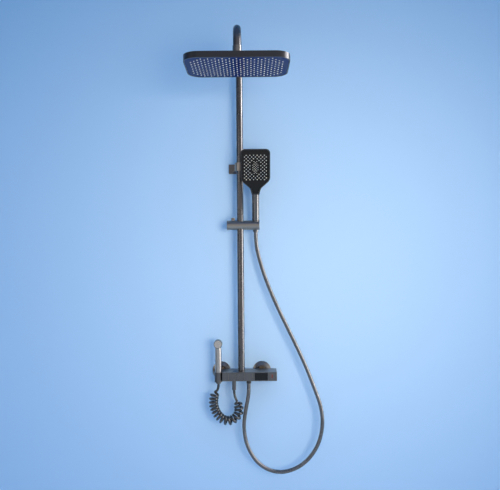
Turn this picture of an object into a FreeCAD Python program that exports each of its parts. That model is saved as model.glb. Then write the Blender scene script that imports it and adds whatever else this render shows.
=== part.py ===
"""Exposed shower system: valve with push keys, riser, rain head, hand shower and bidet sprayer.

Millimetres. The origin lies on the wall midway between the two water inlets, with +X to the
right, +Y into the wall and +Z up. Depths are distances out of the wall, along -Y.
"""
import FreeCAD
import Part
import Sketcher
import math
import operator
import os
from types import SimpleNamespace

Vector = FreeCAD.Vector

SIZES = {
    # Fits
    "joint_gap": 0.3,
    "run_gap": 0.05,
    "cut_overrun": 5.0,
    # Wall inlets
    "inlet_pitch": 150.0,
    "thread_radius": 10.48,
    "thread_length": 16.0,
    "union_radius": 13.2,
    "union_depth": 16.0,
    "union_bore": 7.5,
    "flange_radius": 33.5,
    "flange_depth": 9.0,
    "flange_rim": 2.5,
    "flange_wall": 1.8,
    "flange_crown": 20.0,
    "washer_thick": 2.0,
    "collar_thick": 2.2,
    "collar_radius": 12.4,
    "tail_radius": 8.6,
    "tail_bore": 6.0,
    "tail_root": 6.0,
    "inlet_nut_radius": 17.0,
    "inlet_nut_lip": 4.5,
    "inlet_nut_clear": 2.5,
    # Valve casing and core
    "body_left_reach": 17.0,
    "body_right_reach": 21.0,
    "body_depth": 67.5,
    "body_top": 11.5,
    "body_bottom": 20.0,
    "body_wall": 2.5,
    "notch_clear": 0.6,
    "core_depth": 49.7,
    "core_left": 62.0,
    "core_right": 58.0,
    "core_arm_reach": 14.0,
    "core_arm_depth": 18.0,
    "outlet_right": 26.5,
    "outlet_left": 27.0,
    "nipple_radius": 6.5,
    "nipple_bore": 4.5,
    "nipple_length": 11.0,
    "nipple_bore_depth": 9.0,
    "socket_depth": 12.0,
    # Keys and display
    "keys_offset": 3.2,
    "key_pitch": 28.5,
    "key_gap": 0.4,
    "key_height": 23.6,
    "key_thick": 7.0,
    "key_lip": 1.0,
    "stem_radius": 4.0,
    "stem_length": 33.0,
    "stem_drop": 5.75,
    "key_spring_radius": 6.0,
    "key_spring_wire": 0.5,
    "display_inset": 48.5,
    "display_width": 46.5,
    "display_thick": 2.4,
    "board_thick": 6.0,
    "board_inset": 1.8,
    # Temperature knob
    "end_plate_thick": 2.5,
    "cartridge_radius": 11.0,
    "spindle_radius": 4.0,
    "spindle_inside": 20.0,
    "spindle_outside": 20.0,
    "knob_length": 30.6,
    "knob_wall": 4.0,
    "knob_hub_radius": 8.0,
    # Riser and arm
    "riser_depth": 68.0,
    "riser_radius": 12.0,
    "riser_bore": 10.5,
    "bush_inside": 25.0,
    "bush_outside": 22.0,
    "bush_bore": 8.5,
    "arm_height": 1124.0,
    "arm_rise": 89.0,
    "arm_reach": 372.0,
    "arm_bend": 40.0,
    "arm_drop": 73.0,
    # Swivel and rain head
    "swivel_nut_radius": 13.4,
    "swivel_grip": 10.0,
    "swivel_lip": 6.0,
    "ball_stem_radius": 6.5,
    "ball_flange_radius": 9.5,
    "ball_flange_thick": 4.0,
    "ball_bore": 3.5,
    "ball_radius": 11.0,
    "ball_drop": 12.4,
    "ring_height": 6.5,
    "ring_bore": 9.6,
    "ring_radius": 14.0,
    "neck_radius": 17.0,
    "neck_drop": 14.0,
    "head_width": 310.0,
    "head_depth": 205.0,
    "head_corner": 45.0,
    "head_thick": 18.0,
    "head_wall": 3.0,
    "head_port": 5.0,
    "face_recess": 0.6,
    "face_thick": 4.0,
    "mat_inset": 8.0,
    "mat_thick": 2.5,
    # Upper wall bracket
    "bracket_height": 747.0,
    "plate_margin": 8.0,
    "plate_height": 34.0,
    "plate_thick": 8.0,
    "screw_land": 7.0,
    "bracket_arm_height": 26.0,
    "bracket_arm_depth": 40.0,
    "clamp_radius": 18.4,
    "clamp_height": 29.0,
    "set_screw_radius": 2.5,
    "wall_screw_spacing": 68.0,
    "wall_screw_radius": 2.1,
    "wall_screw_neck": 2.4,
    "wall_screw_length": 38.0,
    "wall_screw_head_radius": 4.2,
    "wall_screw_head_height": 2.6,
    # Sliding holder
    "slider_height": 537.0,
    "slider_radius": 17.25,
    "slider_left": 48.0,
    "slider_seam": 21.0,
    "end_cap_thick": 4.0,
    "end_cap_plug_radius": 8.8,
    "end_cap_plug_length": 7.0,
    "button_offset": 26.0,
    "button_radius": 7.0,
    "button_rise": 9.0,
    "button_depth": 14.0,
    "button_spring_length": 5.4,
    "button_spring_radius": 4.5,
    "button_spring_wire": 0.5,
    "shoe_radius": 5.0,
    "shoe_length": 5.6,
    "bolt_radius": 5.0,
    "bolt_inside": 6.2,
    "bolt_outside": 18.0,
    # Cradle and hand shower
    "lean_angle": 12.0,
    "socket_offset": 55.5,
    "cradle_right": 69.0,
    "cone_bottom_radius": 10.2,
    "cone_top_radius": 11.4,
    "cone_half": 19.0,
    "hose_slot": 15.6,
    "handset_nut_below": 24.0,
    "handset_nut_taper": 0.3,
    "handset_nut_bore": 5.0,
    "handle_start": 17.8,
    "handle_radius": 13.0,
    "handle_bore": 9.0,
    "handle_chamfer": 1.4,
    "spigot_radius": 8.8,
    "spigot_length": 12.0,
    "handle_end": 112.0,
    "neck_half": 13.2,
    "throat_half": 19.0,
    "throat_height": 134.0,
    "shoulder_height": 163.0,
    "handset_half": 52.0,
    "handset_top": 272.0,
    "handset_corner": 15.0,
    "shoulder_round": 24.0,
    "throat_round": 20.0,
    "handset_front": 13.0,
    "handset_back": 11.0,
    "handset_wall": 3.0,
    "handset_face_thick": 4.2,
    "handset_face_proud": 0.2,
    "spray_plate_thick": 3.0,
    "spray_plate_inset": 8.0,
    "insert_width": 26.0,
    "insert_height": 51.0,
    "insert_thick": 0.8,
    "insert_center": 208.0,
    # Bidet sprayer
    "sprayer_reach": 7.6,
    "sprayer_depth": 81.0,
    "cup_radius": 13.9,
    "cup_top": 10.0,
    "cup_bottom": 24.5,
    "cup_shoulder": 10.0,
    "cup_bore": 11.9,
    "cup_throat": 9.3,
    "foot_width": 11.0,
    "foot_height": 22.0,
    "foot_root": 5.0,
    "sprayer_radius": 11.5,
    "sprayer_bore": 9.5,
    "sprayer_top": 97.0,
    "sprayer_nut_radius": 8.8,
    "sprayer_nut_bottom": 30.0,
    "sprayer_nut_spigot": 10.0,
    "sprayer_nut_bore": 3.0,
    "spray_head_height": 112.0,
    "spray_head_radius": 14.8,
    "spray_head_front": 16.0,
    "spray_head_back": 10.0,
    "spray_neck_depth": 16.0,
    "spray_face_radius": 12.6,
    "spray_face_thick": 1.5,
    "trigger_width": 9.0,
    "trigger_thick": 4.0,
    "trigger_length": 62.0,
    "trigger_top": 5.0,
    "trigger_clear": 8.0,
    "ear_thick": 2.4,
    "ear_height": 10.0,
    "pin_radius": 1.5,
    # Hoses
    "hose_radius": 7.0,
    "hose_nut_radius": 8.6,
    "hose_nut_bottom": 33.0,
    "hose_lead": 45.0,
    "hose_tail": 39.0,
    "connector_radius": 7.2,
    "connector_bottom": 57.0,
    "curl_tube_radius": 4.1,
    "curl_radius": 13.8,
    "curl_gap": 0.8,
    "curl_ramp": 14.0,
    "curl_lead": 30.0,
    "curl_tail": 40.0,
    "curl_drop": 18.0,
    "curl_climb": 16.0,
}

# Middle points of the shower hose, from the hand shower down round the loop to the valve.
HOSE_POINTS = [
    (70.0, -56.0, 405.0),
    (96.0, -62.0, 325.0),
    (134.0, -68.0, 235.0),
    (180.0, -70.0, 140.0),
    (225.0, -70.0, 45.0),
    (262.0, -70.0, -50.0),
    (290.0, -70.0, -130.0),
    (291.0, -70.0, -205.0),
    (268.0, -70.0, -275.0),
    (215.0, -69.0, -335.0),
    (138.0, -68.0, -361.0),
    (66.0, -68.0, -335.0),
    (20.0, -68.0, -270.0),
    (5.0, -68.0, -195.0),
    (14.0, -68.0, -130.0),
]

# Middle points of the axis of the curly hose, from the sprayer to its connector.
CURL_POINTS = [
    (-92.0, -80.0, -62.0),
    (-101.0, -79.0, -84.0),
    (-101.0, -78.0, -112.0),
    (-88.0, -77.0, -144.0),
    (-64.0, -76.0, -165.0),
    (-36.0, -74.0, -166.0),
    (-14.0, -72.0, -148.0),
    (-9.0, -70.0, -122.0),
    (-18.0, -69.0, -98.0),
]

SIDES = {"left": -1, "right": 1}
KEYS = {"bidet": -1, "rain": 0, "hand": 1}
QUARTER_TURN = math.pi / 2
BEND_SHARE = 0.45
ARC_TURN = 90
FULL_TURN = 360
HEX_SIDES = 6
SPRING_TURNS = 4
STEPS_PER_TURN = 400
STRAIGHT_LIMIT = 1e-6

OPERATORS = {"+": operator.add, "-": operator.sub, "*": operator.mul, "/": operator.truediv}

doc = FreeCAD.newDocument("ShowerSystem")
sheet = doc.addObject("Spreadsheet::Sheet", "Sizes")
for row, (alias, number) in enumerate(SIZES.items(), start=1):
    sheet.set(f"A{row}", alias)
    sheet.set(f"B{row}", str(number))
    sheet.setAlias(f"B{row}", alias)
doc.recompute()


class Formula:
    """A length written in the sheet's sizes: its expression and its present value."""

    def __init__(self, text, value):
        self.text = text
        self.value = value

    def __add__(self, other):
        return join(self, "+", other)

    def __radd__(self, other):
        return join(other, "+", self)

    def __sub__(self, other):
        return join(self, "-", other)

    def __rsub__(self, other):
        return join(other, "-", self)

    def __mul__(self, other):
        return join(self, "*", other)

    def __rmul__(self, other):
        return join(other, "*", self)

    def __truediv__(self, other):
        return join(self, "/", other)

    def __neg__(self):
        return join(0, "-", self)


def formula(length):
    """Return length as a Formula, also where it is a plain number."""
    if isinstance(length, Formula):
        return length
    return Formula(str(length), length)


def join(first, sign, second):
    """Return the Formula of two lengths joined by a sign."""
    first = formula(first)
    second = formula(second)
    return Formula(f"({first.text} {sign} {second.text})", OPERATORS[sign](first.value, second.value))


size = SimpleNamespace(**{alias: Formula(f"Sizes.{alias}", float(sheet.get(alias))) for alias in SIZES})

# Directions in which a piece made along its own Z axis can point.
TURNS = {
    "up": FreeCAD.Rotation(),
    "right": FreeCAD.Rotation(Vector(0, 1, 0), 90),
    "back": FreeCAD.Rotation(Vector(1, 0, 0), -90),
    "front": FreeCAD.Rotation(Vector(1, 0, 0), 90),
}

# Places that several pieces share.
inlet_nut_end = size.union_depth + size.washer_thick + size.collar_thick + size.joint_gap + size.inlet_nut_lip
body_back = inlet_nut_end + size.inlet_nut_clear
body_front = body_back + size.body_depth
body_left = size.inlet_pitch / 2 + size.body_left_reach
body_right = size.inlet_pitch / 2 + size.body_right_reach
sprayer_offset = size.inlet_pitch / 2 + size.sprayer_reach
core_arm_end = size.inlet_pitch / 2 + size.core_arm_reach
display_left = body_right - size.display_inset
plate_width = size.wall_screw_spacing + size.plate_margin * 2
bracket_arm_width = size.wall_screw_spacing - size.screw_land * 2
body_axis_depth = body_back + size.body_depth / 2
body_middle = (size.body_top - size.body_bottom) / 2
notch_depth = size.sprayer_depth - size.cup_radius - size.notch_clear
notch_offset = sprayer_offset - size.cup_radius - size.joint_gap
core_back = body_back + size.body_wall + size.joint_gap
core_front = core_back + size.core_depth
core_top = size.body_top - size.body_wall - size.joint_gap
core_bottom = size.body_bottom - size.body_wall - size.joint_gap
stem_height = body_middle - size.stem_drop
key_back = body_front - size.key_thick
riser_top = size.arm_height - size.arm_rise
drop_end = size.arm_height - size.arm_drop
swivel_bottom = drop_end - size.swivel_lip - size.ball_flange_thick - size.joint_gap * 2
ball_height = swivel_bottom - size.ball_drop
head_top = ball_height - size.neck_drop
head_bottom = head_top - size.head_thick
head_axis_depth = size.riser_depth + size.arm_reach
trigger_depth = size.sprayer_depth - size.sprayer_radius - size.trigger_clear

nodes = {}


def bind(thing, prop, length):
    """Bind one property of a document object to a length."""
    thing.setExpression(prop, formula(length).text)


def place(thing, at, turn="up"):
    """Set a piece down at a point given in lengths, pointing one of the known ways."""
    thing.Placement = FreeCAD.Placement(Vector(), TURNS[turn])
    for letter, length in zip("xyz", at):
        bind(thing, f"Placement.Base.{letter}", length)


def lean(thing):
    """Set down a piece of the cradle or hand shower, made about the socket, leaning to the front."""
    turn = FreeCAD.Rotation(Vector(1, 0, 0), size.lean_angle.value)
    thing.Placement = FreeCAD.Placement(Vector(), turn)
    bind(thing, "Placement.Rotation.Angle", size.lean_angle)
    bind(thing, "Placement.Base.x", size.socket_offset)
    bind(thing, "Placement.Base.y", -size.riser_depth)
    bind(thing, "Placement.Base.z", size.slider_height)


def keep(label, thing):
    """Name a finished piece and put it on the list of nodes."""
    thing.Label = label
    nodes[label] = thing
    return thing


def cylinder(name, radius, height, at, turn="up"):
    """Return a cylinder that starts at a point and runs one of the known ways."""
    piece = doc.addObject("Part::Cylinder", name)
    bind(piece, "Radius", radius)
    bind(piece, "Height", height)
    place(piece, at, turn)
    return piece


def block(name, low, extent):
    """Return a box from its low corner and its extents along X, Y and Z."""
    piece = doc.addObject("Part::Box", name)
    for prop, length in zip(("Length", "Width", "Height"), extent):
        bind(piece, prop, length)
    place(piece, low)
    return piece


def sphere(name, radius, at):
    """Return a ball about a point."""
    piece = doc.addObject("Part::Sphere", name)
    bind(piece, "Radius", radius)
    place(piece, at)
    return piece


def fuse(name, pieces):
    """Return several pieces joined into one."""
    result = doc.addObject("Part::MultiFuse", name)
    result.Shapes = pieces
    return result


def cut(name, base, tools):
    """Return a piece less one or more others."""
    result = doc.addObject("Part::Cut", name)
    result.Base = base
    result.Tool = tools[0] if len(tools) == 1 else fuse(f"{name}_tools", tools)
    return result


def group(name, pieces):
    """Return separate solids that share one node."""
    result = doc.addObject("Part::Compound", name)
    result.Links = pieces
    return result


def outline_sketch(body, name, plane, outline, start=0):
    """Draw a closed outline of straight lines on one of a body's planes, moved along its normal."""
    sketch = body.newObject("Sketcher::SketchObject", name)
    support = [each for each in body.Origin.OriginFeatures if each.Role == plane]
    sketch.AttachmentSupport = [(support[0], "")]
    sketch.MapMode = "FlatFace"
    bind(sketch, "AttachmentOffset.Base.z", start)
    points = [(formula(across), formula(along)) for across, along in outline]
    count = len(points)
    for index, point in enumerate(points):
        following = points[(index + 1) % count]
        first = Vector(point[0].value, point[1].value, 0)
        second = Vector(following[0].value, following[1].value, 0)
        sketch.addGeometry(Part.LineSegment(first, second), False)
    for index in range(count):
        sketch.addConstraint(Sketcher.Constraint("Coincident", index, 2, (index + 1) % count, 1))
    for index, point in enumerate(points):
        for kind, axis, length in zip(("DistanceX", "DistanceY"), (-2, -1), point):
            if length.text == "0":
                sketch.addConstraint(Sketcher.Constraint("PointOnObject", index, 1, axis))
            else:
                rule = Sketcher.Constraint(kind, -1, 1, index, 1, length.value)
                place_in_sketch = sketch.addConstraint(rule)
                bind(sketch, f"Constraints[{place_in_sketch}]", length)
    return sketch


def turned(name, outline, at, turn="up"):
    """Return a piece turned about its own Z axis from an outline of radius and height pairs."""
    body = doc.addObject("PartDesign::Body", name)
    sketch = outline_sketch(body, f"{name}_outline", "XZ_Plane", outline)
    feature = body.newObject("PartDesign::Revolution", f"{name}_turn")
    feature.Profile = sketch
    feature.ReferenceAxis = (sketch, ["V_Axis"])
    feature.Angle = FULL_TURN
    place(body, at, turn)
    return body


def prism(name, plane, outline, start, length, at=(0, 0, 0)):
    """Return an outline drawn on a plane and pushed along the plane's normal."""
    body = doc.addObject("PartDesign::Body", name)
    sketch = outline_sketch(body, f"{name}_outline", plane, outline, start)
    feature = body.newObject("PartDesign::Pad", f"{name}_pad")
    feature.Profile = sketch
    bind(feature, "Length", length)
    place(body, at)
    return body


def round_corners(body, name, radius, wanted):
    """Round those edges of a body that the given test picks out."""
    doc.recompute()
    base = body.Tip
    names = [f"Edge{index}" for index, edge in enumerate(base.Shape.Edges, start=1) if wanted(edge)]
    feature = body.newObject("PartDesign::Fillet", name)
    feature.Base = (base, names)
    bind(feature, "Radius", radius)


def rectangle(width, height):
    """Return the outline of a rectangle about the origin."""
    across = width / 2
    along = height / 2
    return [(-across, -along), (across, -along), (across, along), (-across, along)]


def upright(edge):
    """Tell whether an edge runs along Z."""
    first, last = edge.firstVertex().Point, edge.lastVertex().Point
    return math.hypot(first.x - last.x, first.y - last.y) < STRAIGHT_LIMIT


def add_inlets():
    """Unions in the wall, their flanges and washers, and the nuts that hold the valve's tails."""
    washers = []
    for side, sign in SIDES.items():
        at = (size.inlet_pitch / 2 * sign, 0, 0)
        union = [
            (size.union_bore, -size.thread_length),
            (size.thread_radius, -size.thread_length),
            (size.thread_radius, 0),
            (size.union_radius, 0),
            (size.union_radius, size.union_depth),
            (size.union_bore, size.union_depth),
        ]
        keep(f"supply_union_{side}", turned(f"union_{side}", union, at, "front"))
        bore = size.union_radius + size.joint_gap
        under = size.flange_depth - size.flange_wall
        flange = [
            (size.flange_radius, 0),
            (size.flange_radius, size.flange_rim),
            (size.flange_crown, size.flange_depth),
            (bore, size.flange_depth),
            (bore, under),
            (size.flange_crown - size.flange_wall, under),
            (size.flange_radius - size.flange_wall * 2, 0),
        ]
        keep(f"wall_flange_{side}", turned(f"flange_{side}", flange, at, "front"))
        washers.append(add_washer(side, at[0]))
        add_inlet_nut(side, at[0])
    keep("inlet_washers", group("washer_pair", washers))


def add_washer(side, across):
    """Flat washer between a union and the collar of the valve's tail."""
    end = size.union_depth + size.washer_thick
    outline = [
        (size.union_bore, size.union_depth),
        (size.collar_radius, size.union_depth),
        (size.collar_radius, end),
        (size.union_bore, end),
    ]
    return turned(f"washer_{side}", outline, (across, 0, 0), "front")


def add_inlet_nut(side, across):
    """Hexagon nut round the union, with a lip in front of the tail's collar."""
    start = size.flange_depth + size.joint_gap
    hexagon = doc.addObject("Part::Prism", f"nut_hexagon_{side}")
    hexagon.Polygon = HEX_SIDES
    bind(hexagon, "Circumradius", size.inlet_nut_radius)
    bind(hexagon, "Height", inlet_nut_end - start)
    place(hexagon, (across, -start, 0), "front")
    thread_end = inlet_nut_end - size.inlet_nut_lip
    low = start - size.cut_overrun
    thread = cylinder(
        f"nut_thread_{side}", size.union_radius + size.run_gap, thread_end - low, (across, -low, 0), "front"
    )
    mouth_length = inlet_nut_end + size.cut_overrun - low
    mouth = cylinder(
        f"nut_mouth_{side}", size.tail_radius + size.joint_gap, mouth_length, (across, -low, 0), "front"
    )
    keep(f"inlet_nut_{side}", cut(f"nut_{side}", hexagon, [thread, mouth]))


def key_place(position):
    """Return the X place of a key's middle from its position in the row."""
    return size.key_pitch * position - size.keys_offset


def add_core():
    """Brass core: inlet tails, arms, outlets, riser socket and the bores of the key stems."""
    height = core_top + core_bottom
    arm_left = body_left - size.body_wall - size.joint_gap
    left_front = notch_depth - size.body_wall - size.joint_gap
    main_width = size.core_left + size.core_right
    main = block(
        "core_main", (-size.core_left, -core_front, -core_bottom), (main_width, size.core_depth, height)
    )
    left = block(
        "core_left_arm",
        (-arm_left, -left_front, -core_bottom),
        (arm_left - size.core_left, left_front - core_back, height),
    )
    right = block(
        "core_right_arm",
        (size.core_right, -(core_back + size.core_arm_depth), -core_bottom),
        (core_arm_end - size.core_right, size.core_arm_depth, height),
    )
    solids = [main, left, right]
    voids = []
    tail_start = size.union_depth + size.washer_thick
    for side, sign in SIDES.items():
        across = size.inlet_pitch / 2 * sign
        tail_length = core_back + size.tail_root - tail_start
        at = (across, -tail_start, 0)
        solids.append(cylinder(f"tail_{side}", size.tail_radius, tail_length, at, "front"))
        solids.append(cylinder(f"collar_{side}", size.collar_radius, size.collar_thick, at, "front"))
        bore_at = (across, -(tail_start - size.cut_overrun), 0)
        voids.append(
            cylinder(f"tail_bore_{side}", size.tail_bore, tail_length + size.cut_overrun, bore_at, "front")
        )
    nipple_end = size.body_bottom + size.nipple_length
    for side, across in (("left", -size.outlet_left), ("right", size.outlet_right)):
        at = (across, -size.riser_depth, -nipple_end)
        nipple_height = nipple_end - core_bottom + size.body_wall
        solids.append(cylinder(f"nipple_{side}", size.nipple_radius, nipple_height, at))
        bore_at = (across, -size.riser_depth, -(nipple_end + size.cut_overrun))
        bore_length = nipple_end + size.cut_overrun - core_bottom + size.nipple_bore_depth
        voids.append(cylinder(f"nipple_bore_{side}", size.nipple_bore, bore_length, bore_at))
    socket_at = (0, -size.riser_depth, core_top - size.socket_depth)
    socket_radius = size.riser_radius + size.run_gap
    voids.append(cylinder("riser_socket", socket_radius, size.socket_depth + size.cut_overrun, socket_at))
    stem_end = key_back - size.stem_length - size.key_thick
    for key, position in KEYS.items():
        at = (key_place(position), -stem_end, stem_height)
        stem_bore_length = core_front - stem_end + size.cut_overrun
        voids.append(
            cylinder(f"{key}_stem_bore", size.stem_radius + size.run_gap, stem_bore_length, at, "front")
        )
    keep("valve_core", cut("core", fuse("core_solids", solids), voids))


def body_outline(inset, right):
    """Return the plan of the valve body, notched at the front left for the sprayer's cup."""
    left = body_left - inset
    notch = notch_offset - inset
    back = body_back + inset
    front = body_front - inset
    notch_wall = notch_depth - inset
    return [
        (-left, -back),
        (right, -back),
        (right, -front),
        (-notch, -front),
        (-notch, -notch_wall),
        (-left, -notch_wall),
    ]


def add_casing():
    """Hollow casing, open at its right end, with its windows and pipe holes."""
    height = size.body_top + size.body_bottom
    outer = prism("casing_outer", "XY_Plane", body_outline(0, body_right), -size.body_bottom, height)
    hollow_outline = body_outline(size.body_wall, body_right + size.cut_overrun)
    hollow_start = size.body_wall - size.body_bottom
    hollow = prism("casing_hollow", "XY_Plane", hollow_outline, hollow_start, height - size.body_wall * 2)
    window_start = -(body_front + size.cut_overrun)
    window_depth = size.cut_overrun + size.body_wall * 2
    row_half = size.key_pitch * (len(KEYS) / 2) + size.key_gap / 2
    key_high = size.key_height + size.joint_gap * 2
    keys = block(
        "key_window",
        (-(row_half + size.keys_offset), window_start, body_middle - key_high / 2),
        (row_half * 2, window_depth, key_high),
    )
    display_high = height - size.body_wall * 2
    display = block(
        "display_window",
        (display_left - size.joint_gap / 2, window_start, body_middle - display_high / 2),
        (size.display_width + size.joint_gap, window_depth, display_high),
    )
    voids = [hollow, keys, display]
    for side, sign in SIDES.items():
        at = (size.inlet_pitch / 2 * sign, -(body_back - size.cut_overrun), 0)
        hole_depth = size.cut_overrun + size.body_wall * 2
        hole_radius = size.tail_radius + size.joint_gap
        voids.append(cylinder(f"tail_hole_{side}", hole_radius, hole_depth, at, "front"))
    through = size.cut_overrun + size.body_wall * 2
    for side, across in (("left", -size.outlet_left), ("right", size.outlet_right)):
        at = (across, -size.riser_depth, -(size.body_bottom + size.cut_overrun))
        voids.append(cylinder(f"nipple_hole_{side}", size.nipple_radius + size.joint_gap, through, at))
    riser_at = (0, -size.riser_depth, size.body_top - size.body_wall * 2)
    voids.append(cylinder("riser_hole", size.riser_radius + size.joint_gap, through, riser_at))
    keep("valve_casing", cut("casing", outer, voids))


def add_display():
    """Black display lens in its window and the board behind it."""
    high = size.body_top + size.body_bottom - size.body_wall * 2 - size.joint_gap
    low = body_middle - high / 2
    lens_at = (display_left, -body_front, low)
    keep("display_lens", block("lens", lens_at, (size.display_width, size.display_thick, high)))
    board_width = size.display_width - size.board_inset * 2
    board_at = (display_left + size.board_inset, -(body_front - size.display_thick), low)
    keep("display_board", block("board", board_at, (board_width, size.board_thick, high)))


def add_keys():
    """Push keys with their stems, and the springs that return them."""
    width = size.key_pitch - size.key_gap
    lip_front = body_front - size.body_wall - size.joint_gap
    lip_height = size.key_height + size.key_lip * 2
    for key, position in KEYS.items():
        middle = key_place(position)
        left = middle - width / 2
        cap_at = (left, -body_front, body_middle - size.key_height / 2)
        cap = block(f"{key}_cap", cap_at, (width, size.key_thick, size.key_height))
        lip_at = (left, -lip_front, body_middle - lip_height / 2)
        lip = block(f"{key}_lip", lip_at, (width, lip_front - key_back, lip_height))
        stem_at = (middle, -lip_front, stem_height)
        stem_run = lip_front - key_back + size.stem_length
        stem = cylinder(f"{key}_stem", size.stem_radius, stem_run, stem_at, "back")
        keep(f"{key}_key", fuse(f"{key}_key_solid", [cap, lip, stem]))
        spring_length = key_back - core_front - size.joint_gap * 2
        start = Vector(middle.value, -(core_front + size.joint_gap).value, stem_height.value)
        shape = spring(size.key_spring_radius, size.key_spring_wire, spring_length, start, Vector(0, -1, 0))
        keep(f"{key}_key_spring", shape_piece(f"{key}_spring", shape))


def add_temperature_control():
    """End plate, thermostatic cartridge, its spindle and the knob that turns it."""
    plate_left = body_right - size.end_plate_thick
    inset = size.body_wall + size.joint_gap
    plate = block(
        "plate",
        (plate_left, -(body_front - inset), inset - size.body_bottom),
        (size.end_plate_thick, size.body_depth - inset * 2, size.body_top + size.body_bottom - inset * 2),
    )
    axis = (-body_axis_depth, body_middle)
    through = size.end_plate_thick + size.cut_overrun * 2
    hole_at = (plate_left - size.cut_overrun, *axis)
    hole = cylinder("plate_hole", size.spindle_radius + size.joint_gap, through, hole_at, "right")
    keep("end_plate", cut("end_plate_solid", plate, [hole]))
    cartridge_left = size.core_right + size.joint_gap
    cartridge_right = plate_left - size.joint_gap
    cartridge = cylinder(
        "cartridge", size.cartridge_radius, cartridge_right - cartridge_left, (cartridge_left, *axis), "right"
    )
    spindle_left = plate_left - size.spindle_inside
    bore_left = spindle_left - size.joint_gap
    bore = cylinder(
        "cartridge_bore",
        size.spindle_radius + size.run_gap,
        cartridge_right - bore_left + size.cut_overrun,
        (bore_left, *axis),
        "right",
    )
    keep("thermostatic_cartridge", cut("cartridge_solid", cartridge, [bore]))
    knob_left = body_right + size.joint_gap
    spindle_right = knob_left + size.spindle_outside
    spindle_length = spindle_right - spindle_left
    spindle_at = (spindle_left, *axis)
    keep(
        "cartridge_spindle", cylinder("spindle", size.spindle_radius, spindle_length, spindle_at, "right")
    )
    add_knob(knob_left, axis)


def add_knob(knob_left, axis):
    """Temperature knob of the body's own section, hollow round its hub."""
    knob_at = (knob_left, -body_front, -size.body_bottom)
    height = size.body_top + size.body_bottom
    solid = block("knob_block", knob_at, (size.knob_length, size.body_depth, height))
    hub_at = (knob_left, *axis)
    hub = cylinder("knob_hub", size.knob_hub_radius, size.knob_length, hub_at, "right")
    hollow_at = (knob_left - size.cut_overrun, size.knob_wall - body_front, size.knob_wall - size.body_bottom)
    hollow = block(
        "knob_hollow_block",
        hollow_at,
        (
            size.knob_length - size.knob_wall + size.cut_overrun,
            size.body_depth - size.knob_wall * 2,
            height - size.knob_wall * 2,
        ),
    )
    socket = cylinder(
        "knob_socket",
        size.spindle_radius + size.run_gap,
        size.spindle_outside + size.joint_gap + size.cut_overrun,
        (knob_left - size.cut_overrun, *axis),
        "right",
    )
    shell = cut("knob_shell", solid, [hollow])
    keep("temperature_knob", cut("knob", fuse("knob_solids", [shell, hub]), [socket]))


def add_riser():
    """Riser pipe in its socket and the bush on which the arm swings."""
    foot = core_top - size.socket_depth + size.joint_gap
    at = (0, -size.riser_depth, 0)
    pipe = [
        (size.riser_bore, foot),
        (size.riser_radius, foot),
        (size.riser_radius, riser_top),
        (size.riser_bore, riser_top),
    ]
    keep("riser_pipe", turned("riser", pipe, at))
    bush_radius = size.riser_bore - size.run_gap
    bush_low = riser_top - size.bush_inside
    bush_high = riser_top + size.bush_outside
    bush = [
        (size.bush_bore, bush_low),
        (bush_radius, bush_low),
        (bush_radius, bush_high),
        (size.bush_bore, bush_high),
    ]
    keep("arm_bush", turned("bush", bush, at))


def arm_run(name, radius, overrun):
    """Return the arm's path as a round bar: up from the riser, out from the wall and down."""
    low = riser_top + size.joint_gap - overrun
    bend_height = size.arm_height - size.arm_bend
    near = size.riser_depth + size.arm_bend
    far = head_axis_depth - size.arm_bend
    end = drop_end - overrun
    ring_turn = FreeCAD.Rotation(Vector(1, 1, 1), 120)
    pieces = [
        cylinder(f"{name}_rise", radius, bend_height - low, (0, -size.riser_depth, low)),
        cylinder(f"{name}_reach", radius, far - near, (0, -near, size.arm_height), "front"),
        cylinder(f"{name}_drop", radius, bend_height - end, (0, -head_axis_depth, end)),
    ]
    for bend, depth, turn in (("near", near, ring_turn), ("far", far, TURNS["front"] * ring_turn)):
        elbow = doc.addObject("Part::Torus", f"{name}_{bend}_elbow")
        bind(elbow, "Radius1", size.arm_bend)
        bind(elbow, "Radius2", radius)
        elbow.Angle3 = ARC_TURN
        place(elbow, (0, -depth, bend_height))
        base = elbow.Placement.Base
        elbow.Placement = FreeCAD.Placement(base, turn)
        pieces.append(elbow)
    return fuse(name, pieces)


def add_arm():
    """Gooseneck arm, its swivel nut and the ball piece that turns in the nut."""
    outer = arm_run("arm_outer", size.riser_radius, 0)
    inner = arm_run("arm_inner", size.riser_bore, size.cut_overrun)
    keep("shower_arm", cut("arm", outer, [inner]))
    at = (0, -head_axis_depth, 0)
    mouth = size.ball_stem_radius + size.run_gap
    grip = size.riser_radius + size.run_gap
    lip_top = swivel_bottom + size.swivel_lip
    nut_top = drop_end + size.swivel_grip
    nut = [
        (mouth, swivel_bottom),
        (size.swivel_nut_radius, swivel_bottom),
        (size.swivel_nut_radius, nut_top),
        (grip, nut_top),
        (grip, lip_top),
        (mouth, lip_top),
    ]
    keep("swivel_nut", turned("swivel", nut, at))
    axis = (0, -head_axis_depth)
    flange_low = lip_top + size.joint_gap
    flange_high = flange_low + size.ball_flange_thick
    ball = sphere("ball_round", size.ball_radius, (*axis, ball_height))
    stem = cylinder("ball_stem", size.ball_stem_radius, flange_high - ball_height, (*axis, ball_height))
    flange = cylinder("ball_flange", size.ball_flange_radius, size.ball_flange_thick, (*axis, flange_low))
    bore_low = ball_height - size.ball_radius - size.cut_overrun
    bore = cylinder("ball_bore", size.ball_bore, flange_high - bore_low + size.cut_overrun, (*axis, bore_low))
    keep("swivel_ball", cut("ball", fuse("ball_solids", [ball, stem, flange]), [bore]))


def head_plate(name, inset, start, thick):
    """Return a flat plate of the rain head's rounded outline, drawn in by an inset."""
    outline = rectangle(size.head_width - inset * 2, size.head_depth - inset * 2)
    plate = prism(name, "XY_Plane", outline, start, thick, (0, -head_axis_depth, 0))
    round_corners(plate, f"{name}_corners", size.head_corner - inset, upright)
    return plate


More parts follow.
